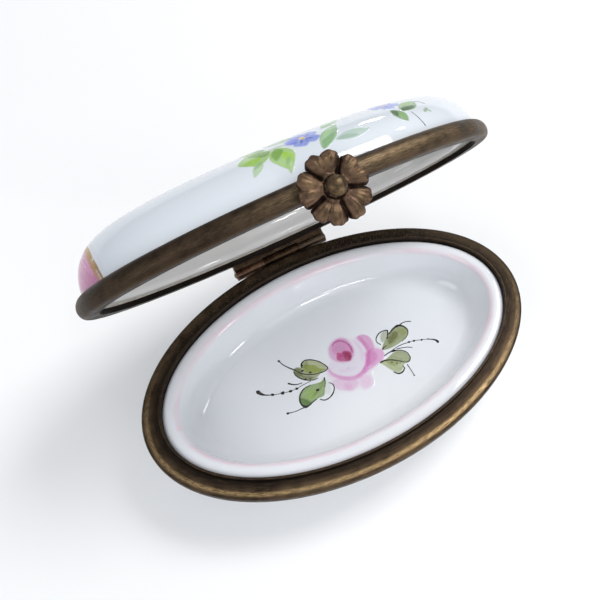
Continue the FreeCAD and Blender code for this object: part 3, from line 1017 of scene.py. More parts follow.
# white petal and band round the cup
ps.area(at([(-1.75, 0.95), (-0.95, 1.0), (0.11, 0.32), (1.68, -0.25), (2.75, 0.30), (3.35, 1.6),
            (3.75, 2.6), (4.25, 2.1), (4.30, 0.9), (3.75, -0.75), (2.78, -1.85), (1.58, -2.45),
            (0.24, -2.18), (-1.0, -1.42), (-1.70, -0.55), (-1.9, 0.3)]),
        WHITE, edge=0.24, strength=0.90, rise=0.020, seed=15)
ps.brush(at([(3.75, 2.45), (3.95, 1.35), (3.7, 0.1), (3.05, -0.9)]), 0.45, lin(222, 190, 218), 0.45,
         edge=0.2, seed=16)
ps.brush(at([(-0.9, -0.55), (0.4, -1.25), (1.7, -1.35)]), 0.5, lin(226, 210, 228), 0.5, edge=0.3, seed=17)
# the cup
ps.area(at([(-0.62, 3.05), (-0.1, 3.75), (0.94, 4.22), (2.0, 4.22), (2.85, 3.5), (3.08, 2.3),
            (2.95, 1.2), (2.35, 0.42), (1.4, 0.0), (0.3, 0.30), (-0.55, 1.1), (-0.85, 2.1)]),
        lin(214, 176, 206), edge=0.26, strength=0.92, rise=0.020, seed=18)
ps.area(at([(-0.1, 3.0), (0.5, 3.55), (1.4, 3.70), (2.2, 3.2), (2.6, 2.3), (2.5, 1.3),
            (1.6, 0.9), (0.7, 1.2), (0.1, 1.9)]), CUP, edge=0.30, strength=0.75, seed=19,
        grain=(40, 0.9, 0.35))
ps.area(at([(0.4, 3.1), (1.3, 3.25), (1.9, 2.7), (1.6, 2.1), (0.8, 2.1)]), lin(196, 158, 186),
        edge=0.30, strength=0.55, seed=20)
ps.brush(at([(0.25, 3.55), (1.05, 3.90), (1.85, 3.72), (2.52, 2.95), (2.72, 2.0), (2.52, 1.0)]), 0.30,
         ARC, 0.92, edge=0.12, taper=(0.25, 0.15), seed=21)
ps.brush(at([(0.95, 4.05), (1.95, 3.98), (2.75, 3.1)]), 0.22, lin(206, 150, 190), 0.6, edge=0.12, seed=22)
ps.area(at([(-0.05, 1.55), (0.45, 2.12), (0.95, 1.80), (1.45, 1.98), (2.1, 1.55), (2.34, 1.08), (2.08, 0.45),
            (1.50, -0.02), (0.75, 0.32), (-0.08, 0.90)]),
        HEART, edge=0.15, strength=0.92, rise=0.022, seed=23, grain=(-30, 0.9, 0.25))
ps.area(at([(1.30, 1.72), (2.12, 1.30), (2.02, 0.66), (1.52, 0.22), (1.02, 0.62), (1.12, 1.2)]),
        HEART2, edge=0.20, strength=0.85, seed=24)
ps.area(at([(0.25, 1.45), (0.65, 1.70), (0.85, 1.2), (0.45, 0.92)]), lin(176, 72, 130), edge=0.2,
        strength=0.45, seed=25)
ps.brush(at([(0.45, -0.95), (0.72, -0.88)]), 0.16, lin(204, 150, 190), 0.7, edge=0.08, seed=26)
ps.mesh("bowl_rose_enamel", paint_mat, "base", "base_porcelain")

# --- leaves
LEAF, LEAF_L, LEAF_D = lin(118, 128, 62), lin(142, 153, 88), lin(78, 84, 34)
BRIGHT, BRIGHT_D = lin(110, 140, 34), lin(66, 98, 20)
pl = Paint(left_ground, -9.0, -1.7, -4.2, 3.9, 0.07)
pl.area(at([(-2.45, 0.62), (-3.1, 0.60), (-3.94, 0.24), (-4.99, 0.09), (-5.95, 0.54), (-6.61, 1.34),
            (-6.99, 2.11), (-6.89, 2.85), (-6.26, 3.11), (-5.57, 2.77), (-5.05, 2.95), (-4.33, 2.60),
            (-3.55, 1.95), (-3.2, 1.2)]), LEAF, edge=0.10, seed=31, grain=(-35, 1.5, 0.28), strength=0.95)
pl.area(at([(-5.45, 2.70), (-5.15, 3.22), (-4.50, 3.42), (-3.66, 3.02), (-2.88, 2.25), (-2.38, 1.42),
            (-2.20, 0.80), (-2.7, 0.60), (-3.6, 0.75), (-4.6, 1.15), (-5.4, 1.75)]), LEAF_L, edge=0.10,
        seed=30, strength=0.93, grain=(-30, 1.5, 0.25))
pl.area(at([(-5.2, 2.6), (-4.9, 3.1), (-4.4, 3.2), (-4.5, 2.5), (-4.9, 1.9)]), LEAF_D, edge=0.3, seed=29,
        strength=0.5)
pl.area(at([(-3.1, 0.75), (-3.9, 0.7), (-4.7, 1.0), (-5.2, 1.8), (-4.9, 2.6), (-4.3, 2.4), (-3.6, 1.8)]),
        LEAF_L, edge=0.25, seed=32, strength=0.75, grain=(-40, 1.2, 0.4))
pl.area(at([(-6.85, 2.2), (-6.75, 2.85), (-6.25, 3.0), (-5.8, 2.5), (-6.0, 1.6), (-6.5, 1.5)]),
        LEAF_D, edge=0.22, seed=33, strength=0.75)
pl.area(at([(-6.2, 1.0), (-5.5, 0.5), (-4.7, 0.3), (-4.9, 0.7), (-5.7, 1.2), (-6.2, 1.6)]),
        LEAF_D, edge=0.2, seed=34, strength=0.55)
pl.area(at([(-3.35, -0.45), (-3.55, -1.33), (-4.10, -2.1), (-4.83, -3.02), (-5.83, -2.96), (-6.74, -3.1),
            (-7.48, -3.37), (-8.16, -3.21), (-8.43, -2.56), (-8.22, -1.73), (-7.68, -0.99), (-6.8, -0.5),
            (-5.67, -0.49), (-4.67, -0.73), (-3.82, -0.77)]), BRIGHT, edge=0.10, seed=35,
        grain=(20, 1.6, 0.22), strength=0.96)
pl.area(at([(-7.9, -3.1), (-8.3, -2.5), (-8.05, -1.7), (-7.4, -2.2), (-7.0, -3.0), (-7.4, -3.3)]),
        BRIGHT_D, edge=0.28, seed=36, strength=0.85)
pl.area(at([(-6.9, -1.2), (-5.9, -1.1), (-5.6, -2.0), (-6.4, -2.7), (-7.2, -2.2)]), lin(142, 176, 74),
        edge=0.30, seed=37, strength=0.45)
pl.brush(at([(-3.4, -0.6), (-4.3, -1.3), (-5.3, -1.9), (-6.4, -2.3)]), 0.5, lin(112, 130, 66), 0.55,
         edge=0.2, seed=38)
pl.area(at([(-3.3, -0.9), (-3.0, -1.5), (-3.3, -2.6), (-4.0, -3.3), (-4.4, -2.6), (-3.8, -1.8)]),
        lin(206, 212, 206), edge=0.25, seed=39, strength=0.45)
pl.mesh("bowl_leaves_left_enamel", paint_mat, "base", "base_porcelain")

pr = Paint(right_ground, 5.0, 12.4, -6.0, 2.1, 0.07)
pr.area(at([(9.3, 1.57), (8.6, 1.70), (7.89, 1.42), (7.43, 0.55), (7.68, 0.11), (8.45, 0.52), (9.09, 1.0)]),
        lin(128, 136, 84), edge=0.14, seed=41, strength=0.9, grain=(60, 1.0, 0.5))
pr.area(at([(6.81, -0.85), (7.73, 0.08), (9.14, 0.91), (10.31, 1.38), (11.22, 1.37), (11.87, 0.81),
            (12.03, -0.02), (11.64, -0.66), (10.85, -1.05), (9.79, -1.28), (8.7, -1.35), (7.59, -1.26)]),
        LEAF, edge=0.10, seed=42, grain=(10, 1.5, 0.25), strength=0.96)
pr.area(at([(8.6, 0.3), (9.6, 0.8), (10.4, 0.7), (10.2, 0.0), (9.2, -0.5), (8.2, -0.6)]),
        lin(86, 88, 34), edge=0.35, seed=43, strength=0.85)
pr.area(at([(10.8, 1.0), (11.6, 0.6), (11.6, -0.2), (10.9, -0.4), (10.6, 0.3)]), lin(136, 142, 92),
        edge=0.3, seed=44, strength=0.7)
pr.area(at([(6.06, -2.66), (6.97, -2.45), (7.88, -2.23), (8.73, -2.31), (9.41, -2.75), (9.78, -3.49),
            (9.76, -4.22), (9.39, -4.68), (8.72, -4.52), (7.92, -3.78), (7.06, -3.12)]),
        LEAF, edge=0.10, seed=45, grain=(-40, 1.4, 0.28), strength=0.95)
pr.area(at([(5.33, -2.62), (6.16, -2.72), (7.03, -3.16), (7.89, -3.82), (8.69, -4.56), (8.05, -4.95),
            (7.60, -5.40), (6.95, -5.50), (6.45, -5.10), (5.92, -4.11), (5.58, -3.24)]),
        LEAF_L, edge=0.12, seed=46, grain=(-60, 1.3, 0.35), strength=0.92)
pr.area(at([(6.3, -2.9), (7.3, -3.3), (7.9, -4.0), (7.2, -4.3), (6.4, -3.8)]), LEAF, edge=0.3, seed=47,
        strength=0.6)
pr.mesh("bowl_leaves_right_enamel", paint_mat, "base", "base_porcelain")

# --- outlines, veins, tendrils and dots
ik_r, ik_l = Ink(right_ground), Ink(left_ground)


def L(pts, *w):
    """A line goes on the side of the rose where it starts; all are a little
    fuller than traced, because the enamel spreads."""
    (ik_r if pts[0][0] > 0 else ik_l).line(pts, *[k * 1.45 + 0.025 for k in w])


def D(x, y, r, **kw):
    (ik_r if x > 0 else ik_l).dot(x, y, r * 1.15, **kw)


L(at([(8.85, 0.86), (9.52, 1.09), (10.39, 1.39), (11.24, 1.39), (11.87, 0.81), (12.03, -0.02), (11.68, -0.63)]),
  0.12, 0.26, 0.07)
L(at([(11.68, -0.63), (11.08, -0.99), (10.2, -1.22)]), 0.07, 0.06, 0.05)
L(at([(9.3, 1.57), (8.67, 1.82), (7.82, 1.8), (7.01, 1.3), (6.73, 0.67), (7.03, -0.01)]), 0.12, 0.11, 0.08)
L(at([(9.3, 1.57), (9.0, 1.1), (8.54, 0.46)]), 0.12, 0.16, 0.10)
L(at([(6.83, -0.86), (7.32, -0.67), (7.9, -0.65)]), 0.20, 0.13, 0.06)
L(at([(10.64, 1.42), (11.13, 1.42), (11.39, 1.25)]), 0.16, 0.34, 0.14)
L(at([(11.25, 1.41), (12.1, 1.49), (12.8, 1.34), (13.31, 1.06)]), 0.12, 0.08, 0.08)
L(at([(5.33, -2.62), (6.17, -2.7), (7.06, -3.12), (7.9, -3.8), (8.69, -4.56), (9.29, -4.67), (9.76, -4.27),
      (9.83, -3.92)]), 0.20, 0.13, 0.10)
L(at([(6.23, -5.0), (6.71, -5.63), (7.37, -5.72), (7.98, -5.34), (7.99, -4.84)]), 0.09, 0.17, 0.09)
L(at([(6.5, -1.97), (7.3, -1.85), (8.24, -1.99), (9.25, -2.51), (9.81, -3.25), (9.83, -3.92)]), 0.11, 0.12, 0.09)
L(at([(7.75, -1.86), (8.24, -1.97), (8.6, -2.1)]), 0.12, 0.26, 0.12)
L(at([(6.5, -1.97), (7.73, -1.80), (9.01, -1.66), (10.02, -1.71), (10.9, -1.9)]), 0.07, 0.06, 0.07)
L(at([(8.8, -1.92), (9.69, -2.23), (10.4, -2.54), (10.95, -2.94)]), 0.08, 0.07, 0.07)
L(at([(8.71, -5.0), (8.68, -5.74), (8.64, -6.43), (8.59, -7.1)]), 0.09, 0.06, 0.06)
L(at([(-5.52, 2.64), (-5.27, 3.25), (-4.55, 3.49), (-3.63, 3.11), (-2.79, 2.31), (-2.29, 1.45), (-2.09, 0.74),
      (-2.55, 0.46), (-3.53, 0.54), (-4.47, 0.81), (-5.49, 1.39), (-6.2, 2.09), (-6.61, 2.82)]), 0.15, 0.10, 0.13)
L(at([(-6.89, 2.66), (-6.91, 1.99), (-6.47, 1.15), (-5.79, 0.48), (-5.01, 0.05), (-4.19, -0.04)]), 0.12, 0.13, 0.07)
L(at([(-6.61, 2.82), (-7.22, 3.59), (-7.69, 4.3), (-7.94, 4.89), (-8.07, 5.33)]), 0.15, 0.10, 0.08)
L(at([(-5.68, -0.51), (-6.82, -0.54), (-7.74, -1.06), (-8.24, -1.82), (-8.36, -2.6), (-8.07, -3.21),
      (-7.5, -3.28), (-6.78, -3.08), (-6.0, -2.96)]), 0.07, 0.20, 0.09)
L(at([(-8.28, -2.8), (-8.02, -3.2), (-7.5, -3.3)]), 0.18, 0.34, 0.16)
L(at([(-3.18, -1.54), (-2.81, -1.91), (-2.82, -2.6), (-3.38, -3.29), (-4.21, -3.7), (-5.05, -3.7), (-5.59, -3.26)]),
  0.08, 0.12, 0.09)
L(at([(-3.35, -0.45), (-3.6, -1.2), (-4.1, -1.9)]), 0.13, 0.09, 0.05)
L(at([(-7.94, -3.23), (-8.78, -3.18), (-9.78, -3.09), (-10.76, -2.83)]), 0.09, 0.07, 0.07)
L(at([(-7.79, 0.01), (-6.68, 0.08), (-5.38, 0.05)]), 0.05, 0.05, 0.05)
L(at([(-8.51, 1.39), (-8.07, 0.96), (-7.47, 0.61), (-6.67, 0.45)]), 0.17, 0.09, 0.06)
L(at([(-7.79, 0.01), (-8.8, 0.11), (-9.94, 0.4), (-11.4, 0.89)]), 0.04, 0.04, 0.05)
L(at([(-11.4, 0.89), (-12.26, 1.35), (-12.79, 1.82), (-13.12, 2.42)]), 0.06, 0.14, 0.40)
L(at([(11.08, -1.91), (11.87, -2.11), (13.0, -2.59), (13.9, -3.02)]), 0.04, 0.05, 0.05)
L(at([(13.9, -3.02), (14.57, -3.5), (14.91, -3.95), (14.93, -4.29)]), 0.06, 0.14, 0.26)
for k, (x, y, r) in enumerate([
    (8.54, 0.46, 0.19), (9.27, 0.95, 0.14), (6.91, -3.48, 0.13), (7.48, -4.05, 0.12), (7.9, -4.25, 0.09),
    (11.08, -1.91, 0.19), (11.87, -2.11, 0.20), (13.0, -2.59, 0.18), (13.91, -3.0, 0.14),
    (13.31, 1.06, 0.09), (8.59, -7.15, 0.12), (10.95, -2.94, 0.07),
    (-5.34, 3.02, 0.20), (-5.69, 2.15, 0.20), (-4.78, 1.36, 0.22), (-5.9, 0.72, 0.15), (-5.25, 0.41, 0.14),
    (-8.07, 5.33, 0.19), (-5.2, -1.74, 0.27), (-10.76, -2.83, 0.20),
    (-7.79, 0.01, 0.22), (-8.8, 0.11, 0.24), (-9.93, 0.42, 0.27), (-11.38, 0.93, 0.23), (-13.08, 2.40, 0.26),
]):
    D(x, y, r, squash=0.78, ang=-0.25 + 0.3 * math.sin(k * 2.1), seed=k)
ik_l.mesh("bowl_outlines_left", ink_mat, "base", "base_porcelain")
ik_r.mesh("bowl_outlines_right", ink_mat, "base", "base_porcelain")

# --- the lid's painting
lid_tree = tree_of("lid_dome")


def lid_ground(o, n, hu, hv, deg=8):
    """A ground on the dome, given on the closed lid."""
    return Ground(lid_tree, to_open(o), turn_open((1, 0, 0)), turn_open(n), hu, hv, deg)


BLUE, BLUE_D, BLUE_L = lin(98, 116, 200), lin(62, 72, 168), lin(150, 168, 224)
SAGE, SAGE_L, LIME, LIME_D = lin(134, 170, 118), lin(186, 204, 190), lin(138, 178, 44), lin(78, 120, 40)
GREEN, GREEN_D = lin(98, 138, 66), lin(46, 66, 38)


def petals(p, x, y, r, n=5, turn=0.3, seed=0, light=BLUE_L, mid=BLUE, dark=BLUE_D):
    """A small five-petalled flower with a yellow eye."""
    for k in range(n):
        a = turn + 2 * math.pi * k / n
        ca, sa = math.cos(a), math.sin(a)

        def q(f, w):
            return (x + r * (f * ca - w * sa), y + r * (f * sa + w * ca))
        p.area([q(0.16, -0.10), q(0.50, -0.40), q(0.90, -0.34), q(0.98, 0.0), q(0.92, 0.34),
                q(0.52, 0.42), q(0.16, 0.10)], mid, edge=0.12 + r * 0.03, strength=0.86,
               seed=seed + k, grain=(math.degrees(a), r * 0.6, 0.35))
        p.brush([q(0.60, -0.28), q(0.86, -0.05), q(0.70, 0.26)], r * 0.20, light, 0.55,
                edge=0.14, seed=seed + k)
        p.brush([q(0.18, 0.0), q(0.62, 0.02)], r * 0.20, dark, 0.60, edge=0.10, seed=seed + 40 + k)
    p.brush([(x - r * 0.14, y), (x + r * 0.14, y + 0.02)], r * 0.38, lin(226, 196, 92), 0.95, edge=0.10,
            rise=0.03, seed=seed)
    p.brush([(x - r * 0.05, y - r * 0.08), (x + r * 0.10, y - r * 0.04)], r * 0.14, lin(150, 104, 48), 0.7,
            edge=0.06, rise=0.03, seed=seed)


def leaf(p, x0, y0, x1, y1, w, light, mid, dark, seed=0):
    """A leaf from its base to its tip, darker at the base and along one side."""
    dx, dy = x1 - x0, y1 - y0
    n = math.hypot(dx, dy)
    dx, dy = dx / n, dy / n

    def q(f, s):
        return (x0 + dx * f * n - dy * s * w, y0 + dy * f * n + dx * s * w)
    p.area([q(0.0, 0.0), q(0.18, 0.34), q(0.45, 0.52), q(0.74, 0.40), q(1.0, 0.02), q(0.76, -0.34),
            q(0.45, -0.48), q(0.18, -0.30)], mid, edge=0.11, strength=0.93, seed=seed,
           grain=(math.degrees(math.atan2(dy, dx)), 1.4, 0.28))
    p.area([q(0.30, 0.05), q(0.55, 0.38), q(0.85, 0.18), q(0.70, 0.02)], light, edge=0.22,
           strength=0.75, seed=seed + 1)
    p.area([q(0.02, 0.0), q(0.22, 0.20), q(0.42, 0.05), q(0.60, -0.30), q(0.30, -0.32)], dark,
           edge=0.20, strength=0.72, seed=seed + 2)


# front left of the dome: blue flower, two lime leaves, sage leaves
gl = lid_ground((0, -14.0, 16.9), (0, -0.60, 0.80), 9.8, 4.9, 9)
pf = Paint(gl, -8.0, 9.3, -4.6, 4.7, 0.075)
leaf(pf, 0.4, 1.9, -2.9, 3.6, 1.9, SAGE_L, SAGE, GREEN, 101)
leaf(pf, -3.4, 1.4, -5.9, 4.2, 1.9, lin(158, 186, 122), SAGE, GREEN, 99)
leaf(pf, -3.1, 0.5, -7.2, 0.5, 3.9, lin(150, 190, 52), LIME, LIME_D, 102)
leaf(pf, -4.8, -0.9, -6.6, -2.9, 1.1, lin(190, 208, 178), lin(170, 194, 156), SAGE, 104)
leaf(pf, -2.5, 0.5, -2.7, -4.0, 2.9, lin(156, 194, 46), lin(142, 182, 40), lin(96, 140, 36), 105)
leaf(pf, -2.0, -2.2, -2.9, -4.4, 0.9, lin(190, 210, 170), lin(164, 190, 136), SAGE, 107)
pf.brush([(-4.4, -0.1), (-3.6, 0.5), (-2.4, 0.7), (-1.2, 0.5)], 0.65, lin(132, 158, 104), 0.75, edge=0.3,
         seed=108)
petals(pf, 0.95, 0.35, 2.15, turn=0.45, seed=110)
pf.area([(-0.9, 0.6), (-0.1, 1.6), (0.5, 0.9), (0.2, 0.1), (-0.6, -0.4)], BLUE, edge=0.3, strength=0.7,
        seed=117)
leaf(pf, 1.9, -3.3, 5.6, 0.9, 1.9, lin(176, 206, 164), SAGE, lin(118, 156, 108), 120)
leaf(pf, 4.0, 1.2, 7.0, 3.6, 1.8, lin(186, 212, 172), SAGE, lin(120, 160, 104), 124)
leaf(pf, 3.9, -2.6, 8.5, -2.2, 1.5, SAGE_L, lin(182, 198, 188), lin(150, 172, 156), 128)
pf.mesh("lid_front_flower_enamel", lid_paint_mat, "lid", "lid_porcelain")

# front right: dark green leaves, a sprig and the edge of a blue flower
gr = lid_ground((15.3, -12.9, 15.6), (0.25, -0.66, 0.70), 4.6, 3.6, 10)
pg = Paint(gr, -4.3, 4.2, -3.1, 3.3, 0.075)
leaf(pg, -1.0, -0.1, 2.3, 2.7, 2.2, lin(136, 172, 100), GREEN, GREEN_D, 133)
leaf(pg, -2.3, 0.6, -1.5, -2.2, 1.8, lin(132, 166, 96), GREEN, GREEN_D, 137)
pg.brush([(1.9, -0.7), (2.4, -0.2), (3.1, -0.5)], 0.42, GREEN, 0.75, edge=0.16, seed=143)
pg.brush([(2.4, -0.1), (2.9, 0.3)], 0.36, GREEN, 0.6, edge=0.16, seed=144)
pg.mesh("lid_front_leaves_enamel", lid_paint_mat, "lid", "lid_porcelain")
gb = lid_ground((13.4, -10.4, 17.4), (0.20, -0.50, 0.84), 2.9, 2.9, 8)
pb = Paint(gb, -2.5, 2.5, -2.5, 2.5, 0.075)
petals(pb, -0.1, -0.1, 2.0, turn=0.9, seed=150)
pb.mesh("lid_front_blue_flower_enamel", lid_paint_mat, "lid", "lid_porcelain")

# the crown's bouquet: a pink rose between two blue flowers, with leaves
gt = lid_ground((0.0, 1.5, 19.5), (0, 0.0, 1.0), 14.5, 8.3, 9)
pt = Paint(gt, -13.6, 13.6, -6.6, 7.0, 0.09)
for k, (x0, y0, x1, y1, w) in enumerate([
    (-2.6, 1.2, -7.0, 4.6, 2.4), (-2.8, -0.6, -7.6, -1.2, 2.2), (2.8, 1.4, 6.6, 5.0, 2.3),
    (3.0, -0.8, 8.0, -0.4, 2.2), (-0.8, 3.2, -1.8, 6.6, 1.9), (1.2, 3.0, 2.8, 6.4, 1.7),
    (-8.6, 1.6, -12.6, 3.4, 1.6), (8.8, 1.2, 12.8, 3.0, 1.6), (-9.2, -0.6, -12.6, -2.4, 1.4),
    (9.0, -0.8, 12.4, -2.8, 1.4),
]):
    green = (lin(176, 204, 120), LIME, LIME_D) if k % 3 == 0 else (lin(168, 192, 132), LEAF, LEAF_D)
    leaf(pt, x0, y0, x1, y1, w, *green, seed=200 + 5 * k)
pt.area([(-3.2, 0.2), (-2.8, 2.2), (-1.2, 3.6), (0.9, 3.8), (2.6, 2.7), (3.3, 0.8), (3.0, -1.4),
         (1.6, -3.0), (-0.4, -3.4), (-2.3, -2.3)], lin(226, 186, 214), edge=0.35, strength=0.85, seed=260,
        grain=(30, 1.4, 0.4))
pt.brush([(-2.8, -0.9), (-1.7, -2.4), (0.2, -2.9), (2.0, -2.2), (2.8, -0.6)], 1.1, DEEP, 0.75, edge=0.3, seed=261)
pt.brush([(2.9, 0.6), (2.3, 2.3), (0.8, 3.3)], 0.9, MIDP, 0.8, edge=0.3, seed=262)
pt.brush([(-2.9, 0.7), (-2.2, 2.3), (-0.8, 3.2)], 0.8, MIDP, 0.7, edge=0.3, seed=263)
pt.area([(-1.8, 0.9), (-0.9, 2.3), (0.7, 2.5), (1.8, 1.5), (1.9, 0.0), (0.9, -1.3), (-0.6, -1.4), (-1.6, -0.5)],
        WHITE, edge=0.3, strength=0.8, rise=0.02, seed=264)
pt.area([(-1.0, 1.0), (-0.3, 1.9), (0.8, 1.8), (1.3, 0.9), (0.9, -0.1), (-0.2, -0.3), (-0.9, 0.3)],
        CUP, edge=0.25, strength=0.85, rise=0.02, seed=265)
pt.area([(-0.5, 0.8), (0.1, 1.3), (0.8, 0.9), (0.7, 0.2), (0.0, 0.0)], HEART, edge=0.22, strength=0.9,
        rise=0.02, seed=266)
pt.brush([(-1.0, 1.5), (0.1, 2.2), (1.3, 1.6)], 0.28, ARC, 0.85, edge=0.12, seed=267)
petals(pt, -6.3, 1.6, 2.2, turn=0.2, seed=270)
petals(pt, 6.4, 2.0, 2.2, turn=0.9, seed=280)
petals(pt, -4.6, -3.4, 1.7, turn=0.6, seed=290)
petals(pt, 4.9, -3.3, 1.7, turn=0.1, seed=300)
pt.mesh("lid_crown_bouquet_enamel", lid_paint_mat, "lid", "lid_porcelain")

it = Ink(gt)
for pts, w in [
    ([(-2.6, 1.2), (-4.8, 3.2), (-6.8, 4.4)], 0.16), ([(-2.8, -0.6), (-5.0, -0.7), (-7.4, -1.2)], 0.16),
    ([(2.8, 1.4), (4.6, 3.4), (6.4, 4.8)], 0.16), ([(3.0, -0.8), (5.2, -0.9), (7.8, -0.4)], 0.16),
    ([(-7.0, 4.6), (-8.4, 5.2), (-9.8, 5.0)], 0.12), ([(6.6, 5.0), (8.2, 5.4), (9.6, 5.0)], 0.12),
    ([(-8.6, 1.6), (-10.6, 2.7), (-12.5, 3.4)], 0.13), ([(8.8, 1.2), (10.8, 2.3), (12.7, 3.0)], 0.13),
    ([(-12.6, -2.4), (-10.8, -1.2), (-9.2, -0.6)], 0.12), ([(12.4, -2.8), (10.6, -1.5), (9.0, -0.8)], 0.12),
]:
    it.line(pts, w * 0.7, w, w * 0.6)
for k, (x, y, r) in enumerate([(-10.2, 4.9, 0.17), (-10.9, 4.6, 0.15), (-11.5, 4.2, 0.13), (10.0, 4.8, 0.17),
                               (10.7, 4.5, 0.15), (11.3, 4.1, 0.13)]):
    it.dot(x, y, r, seed=60 + k)
it.mesh("lid_crown_outlines", ink_mat, "lid", "lid_porcelain")
ir = Ink(gr)
ir.line([(0.0, -0.5), (0.15, -1.2), (0.3, -1.7), (0.5, -2.4), (0.65, -2.9)], 0.06, 0.09, 0.12)
ir.line([(2.2, 2.6), (2.9, 2.2), (3.4, 1.4)], 0.05, 0.06, 0.05)
ir.mesh("lid_front_stem", ink_mat, "lid", "lid_porcelain")


# ------------------------------------------------------------------ blossom
def blossom():
    """Five cupped, notched petals with a crease, ruffled rims and a beaded
    centre, cast in one piece: a closed ring round the rivet's hole."""
    y_back = -B - 0.58
    r_hole = 0.58
    nt, ns = 400, 64
    th = np.arange(nt) * 2 * math.pi / nt
    k = np.round((th - math.pi / 2) / (2 * math.pi / 5))
    a = th - math.pi / 2 - k * 2 * math.pi / 5
    u = np.abs(a) / (math.pi / 5)
    odd = (lattice(np.mod(k, 5), np.zeros(nt), 3) - 0.5)
    reach = 4.22 + odd * 0.16
    out = 3.40 + (reach - 3.40) * np.clip(1 - u ** 3.0, 0, 1) ** 0.55
    out = out - 0.46 * np.exp(-((a / 0.115) ** 2)) + 0.05 * np.sin(a * 26 + odd * 9)
    s = np.linspace(0, 1, ns)[:, None]
    r = r_hole + (out - r_hole)[None, :] * s
    q = r / 4.3
    uu, aa = u[None, :], a[None, :]
    # each petal: a cup that rises from the centre, rolls over and thins out
    rise = np.clip((q - 0.16) / 0.52, 0, 1)
    rise = rise * rise * (3 - 2 * rise)
    roll = np.clip((s - 0.70) / 0.30, 0, 1)
    prof = 0.42 + 0.86 * rise - 0.52 * roll ** 2.0
    side = 1 - 0.42 * uu ** 2.0 * np.clip(q * 1.5, 0, 1)
    h = prof * side
    groove = np.exp(-(((uu - 1.0) * (math.pi / 5) * r / 0.30)) ** 2)
    h = h - 0.44 * groove * np.clip((q - 0.18) / 0.2, 0, 1)
    h = h - 0.20 * np.exp(-((aa * r / 0.24) ** 2)) * np.clip((q - 0.35) / 0.3, 0, 1)
    h = h + 0.055 * np.sin(aa * 34 + q * 5 + odd[None, :] * 20) * np.clip((s - 0.35) / 0.5, 0, 1)
    h = h + 0.07 * np.exp(-(((s - 0.90) / 0.05) ** 2)) * np.clip(1 - uu, 0, 1)
    h = h + (value_noise(r * np.cos(th) * 1.6 + 30, r * np.sin(th) * 1.6 + 30, 5, 3) - 0.5) * 0.13
    # beads of the centre
    bead = 0.5 + 0.5 * np.cos(th * 11)[None, :]
    ring = np.exp(-(((r - 1.42) / 0.20) ** 2))
    h = h + ring * (0.16 + 0.30 * bead ** 1.5)
    h = h + 0.45 * np.clip(1 - (r - r_hole) / 0.55, 0, 1)
    h = np.clip(h, 0.20, 1.42)
    h = np.where(h > 0.60, 0.60 + (h - 0.60) * 0.60, h)
    # the rims that stand highest dip a little, level with the cast outline
    zo = to_open(np.stack([r * np.cos(th), y_back - h, ZP + r * np.sin(th)], -1).reshape(-1, 3))[:, 2]
    h = np.maximum(h - np.clip(zo.reshape(h.shape) - 45.28, 0, None) / 0.87, 0.12)
    edge_h = np.clip(h[-1] * 0.55, 0.16, 0.5)
    px, pz = r * np.cos(th), r * np.sin(th)
    top = np.stack([px, y_back - h, ZP + pz], -1)
    lip_r = out * 1.006
    lip = np.stack([lip_r * np.cos(th), y_back - edge_h, ZP + lip_r * np.sin(th)], -1)[None]
    lowr = r_hole + (out * 0.985 - r_hole)[None, :] * np.linspace(1, 0, 10)[:, None]
    low = np.stack([lowr * np.cos(th), np.full(lowr.shape, y_back - 0.012), ZP + lowr * np.sin(th)], -1)
    rings = np.concatenate([top, lip, low], 0)
    hh = np.concatenate([h, edge_h[None], np.zeros(lowr.shape)], 0)
    cav = np.clip((hh - 0.35) / 0.95, 0, 1)
    nr = rings.shape[0]
    faces = []
    for j in range(nr):
        j2 = (j + 1) % nr
        for i in range(nt):
            i2 = (i + 1) % nt
            faces.append((j * nt + i, j2 * nt + i, j2 * nt + i2, j * nt + i2))
    me = bpy.data.meshes.new("blossom_finger_piece")
    me.from_pydata((to_open(rings.reshape(-1, 3)) * MM).tolist(), [], faces)
    bm = bmesh.new()
    bm.from_mesh(me)
    bmesh.ops.recalc_face_normals(bm, faces=bm.faces)
    bm.to_mesh(me)
    bm.free()
    att = me.attributes.new("relief", "FLOAT_COLOR", "POINT")
    rgba = np.zeros((rings.shape[0] * nt, 4), np.float32)
    rgba[:, 3] = cav.ravel()
    rgba[:, 0] = cav.ravel()
    att.data.foreach_set("color", rgba.ravel())
    me.materials.append(clasp_mat)
    me.polygons.foreach_set("use_smooth", [True] * len(me.polygons))
    o = bpy.data.objects.new("blossom_finger_piece", me)
    bpy.context.scene.collection.objects.link(o)
    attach(o, "lid")
    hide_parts("clasp_blossom")
    return o


blossom()


# --------------------------------------------------------------- camera
AZ, EL, ROLL = -0.56129, 0.96780, 0.03234
DIST, TX, TY = 100.543, 1.700, 12.448
FOCAL, SX, SY = 689.32, 53.65, -39.42
back = Vector((math.sin(AZ) * math.cos(EL), -math.cos(AZ) * math.cos(EL), math.sin(EL)))
right = Vector((0, 0, 1)).cross(back).normalized()
up = back.cross(right)
r2 = right * math.cos(ROLL) + up * math.sin(ROLL)
u2 = up * math.cos(ROLL) - right * math.sin(ROLL)
cpos = back * DIST + r2 * TX + u2 * TY + Vector((0, 0, ZP + 0.165))
cam_data = bpy.data.cameras.new("camera")
cam = bpy.data.objects.new("camera", cam_data)
bpy.context.scene.collection.objects.link(cam)
m = Matrix((
    (r2.x, u2.x, back.x, cpos.x * MM),
    (r2.y, u2.y, back.y, cpos.y * MM),
    (r2.z, u2.z, back.z, cpos.z * MM),
    (0, 0, 0, 1),
))
cam.matrix_world = m
cam_data.sensor_width = 36.0
cam_data.lens = FOCAL / 600 * 36
cam_data.shift_x = -SX / 600
cam_data.shift_y = SY / 600
cam_data.clip_start = 0.005
cam_data.clip_end = 20
bpy.context.scene.camera = cam

